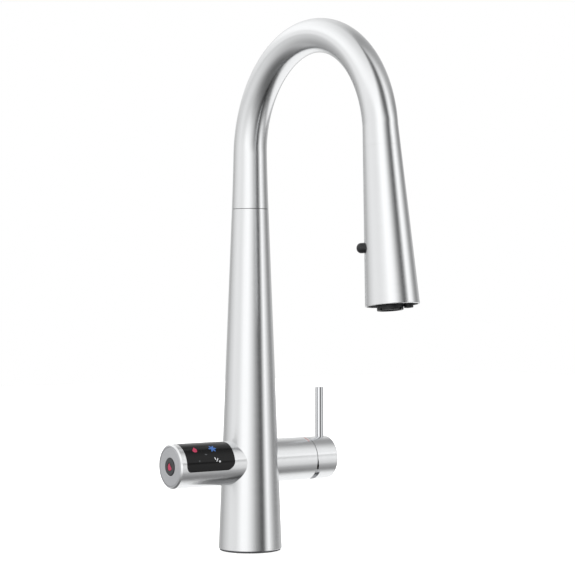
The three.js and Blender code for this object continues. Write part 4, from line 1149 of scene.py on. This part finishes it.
# %% World
def studio_world():
    """The radiance of a direction. Round the horizon it is A(a), by the angle a from the way back
    to the camera with right positive, and it fades evenly below. A little higher the cards stand
    further round, and lean, which is U(a + shift). Far above and far below it is V(z), by the
    height z alone, less the darker cards and corners. A pale sheet fills a cone around the way
    past the tap, a little down and to the right."""
    world = bpy.data.worlds.new("studio")
    bpy.context.scene.world = world
    tree = empty_tree(world)
    look = add_node(tree, "ShaderNodeTexCoord").outputs["Generated"]
    turn = {"Vector": look, "Rotation": (0, 0, np.pi / 2 - CAMERA_TURN)}
    turned_look = add_node(tree, "ShaderNodeMapping", turn)
    compass = add_node(tree, "ShaderNodeTexGradient", {"Vector": turned_look}, gradient_type="RADIAL")
    compass = compass.outputs["Fac"]
    z = add_node(tree, "ShaderNodeSeparateXYZ", {0: look}).outputs["Z"]
    steepness = add_node(tree, "ShaderNodeMath", {0: z}, operation="ABSOLUTE")
    s, c = np.sin(CAMERA_TURN), np.cos(CAMERA_TURN)
    past, right, down = SHEET_WAY
    sheet_way = past * np.array([-s, c, 0]) + right * np.array([c, s, 0]) - [0, 0, down]
    towards = add_node(tree, "ShaderNodeVectorMath", {0: look, 1: sheet_way}, operation="DOT_PRODUCT")

    # shares that grow from 0 to 1 between two values of something
    grow = {"below": (z, (0, -1), "LINEAR"), "shift": (z, SHIFT_EDGE, "LINEAR"),
            "height": (z, (-1, 1), "LINEAR"), "upper": (z, UPPER_EDGE, "SMOOTHSTEP"),
            "steep": (steepness, STEEP_EDGE, "SMOOTHSTEP"), "under": (z, SHEET_TOP, "SMOOTHSTEP"),
            "sheet": (towards.outputs["Value"], SHEET_EDGE, "SMOOTHSTEP")}
    share = {}
    for name, (value, (low, high), kind) in grow.items():
        limits = {"Value": value, "From Min": low, "From Max": high}
        share[name] = add_node(tree, "ShaderNodeMapRange", limits, interpolation_type=kind)
    shift = add_node(tree, "ShaderNodeMath", {0: share["shift"], 1: SHIFT / 360}, operation="MULTIPLY")
    shifted = add_node(tree, "ShaderNodeMath", {0: compass, 1: shift}, operation="ADD")

    # a ramp holds no level above 1, so each is stored halved and doubled after
    ramps = {"horizon": (compass, HORIZON), "upper": (shifted, UPPER),
             "cards": (compass, STEEP_SHADE), "height": (share["height"], BY_HEIGHT)}
    level = {}
    for name, (value, stops) in ramps.items():
        ramp = add_node(tree, "ShaderNodeValToRGB", {"Fac": value})
        elements = ramp.color_ramp.elements
        first, last = stops[0][0], stops[-1][0]
        elements[0].color = [stops[0][1] / 2] * 3 + [1]
        elements[1].color = [stops[-1][1] / 2] * 3 + [1]
        for at, radiance in stops[1:-1]:
            elements.new((at - first) / (last - first)).color = [radiance / 2] * 3 + [1]
        level[name] = add_node(tree, "ShaderNodeMath", {0: ramp, 1: 2.0}, operation="MULTIPLY")

    faded = add_node(tree, "ShaderNodeMath", {0: level["horizon"], 1: FADE_BELOW}, operation="MULTIPLY")
    steep = {0: level["height"], 1: level["cards"]}
    steep = add_node(tree, "ShaderNodeMath", steep, operation="MULTIPLY")
    in_sheet = {0: share["sheet"], 1: share["under"]}
    in_sheet = add_node(tree, "ShaderNodeMath", in_sheet, operation="MULTIPLY")
    room = level["horizon"]
    for part, other in ((share["below"], faded), (share["upper"], level["upper"]),
                        (share["steep"], steep), (in_sheet, SHEET_LEVEL)):
        room = add_node(tree, "ShaderNodeMix", {"Factor": part, "A": room, "B": other}, data_type="FLOAT")

    path = add_node(tree, "ShaderNodeLightPath")
    reflected, plain, white = (
        add_node(tree, "ShaderNodeBackground", {"Color": colour, "Strength": 1.0})
        for colour in (room, (0.9, 0.9, 0.9, 1), (1, 1, 1, 1)))
    lit = {0: path.outputs["Is Glossy Ray"], 1: plain, 2: reflected}
    seen = {0: path.outputs["Is Camera Ray"], 1: add_node(tree, "ShaderNodeMixShader", lit), 2: white}
    add_node(tree, "ShaderNodeOutputWorld", {"Surface": add_node(tree, "ShaderNodeMixShader", seen)})


studio_world()
print("world made")

# %% Floor
FLOOR_HALF = 2.5
FLOOR_POINTS = 41
FLOOR_DROP = 0.0006


def floor():
    """A flat white sheet under the tap, wide enough to have no edge in view. It takes the
    object's shadow."""
    steps = np.linspace(-FLOOR_HALF, FLOOR_HALF, FLOOR_POINTS)
    x, y = np.meshgrid(steps, steps, indexing="ij")
    points = np.stack([x, y, np.full_like(x, -FLOOR_DROP)], -1).reshape(-1, 3)
    number = np.arange(len(points)).reshape(x.shape)
    faces = np.stack([number[:-1, :-1], number[1:, :-1], number[1:, 1:], number[:-1, 1:]], -1)
    mesh = bpy.data.meshes.new("floor")
    mesh.from_pydata(points, [], faces.reshape(-1, 4).tolist())
    piece = place_mesh("floor", mesh)
    material = bpy.data.materials.new("white sheet")
    tree = empty_tree(material)
    path = add_node(tree, "ShaderNodeLightPath")
    grain = add_node(tree, "ShaderNodeTexNoise", {"Scale": 40.0})
    paper = add_node(tree, "ShaderNodeBsdfDiffuse", {"Color": (0.95, 0.95, 0.95, 1)})
    vary(tree, paper, "Roughness", grain, 0.4, 0.6)
    glow = add_node(tree, "ShaderNodeEmission", {"Color": (1, 1, 1, 1), "Strength": 0.75})
    lit = add_node(tree, "ShaderNodeAddShader", {0: paper, 1: glow})
    seen = {0: path.outputs["Is Camera Ray"], 1: paper, 2: lit}
    add_node(tree, "ShaderNodeOutputMaterial", {"Surface": add_node(tree, "ShaderNodeMixShader", seen)})
    mesh.materials.append(material)
    piece.visible_glossy = False
    return piece


floor()

# %% Camera
# a level camera, fitted to the outlines of the photo
CAMERA_PLACE = (-0.78849, -1.16929, 0.20506)
LENS, SENSOR = 107.196, 36.0
SHIFT_UP = 12.5 / 575
camera = bpy.data.cameras.new("camera")
camera.lens, camera.sensor_width, camera.shift_y = LENS, SENSOR, SHIFT_UP
camera.clip_start, camera.clip_end = 0.05, 20
view = bpy.data.objects.new("camera", camera)
view.location = CAMERA_PLACE
view.rotation_euler = (np.pi / 2, 0, CAMERA_TURN)
bpy.context.scene.collection.objects.link(view)
bpy.context.scene.camera = view
bpy.context.scene.view_settings.view_transform = "Standard"
print("camera %.2f m from the column" % np.hypot(*view.location[:2]))
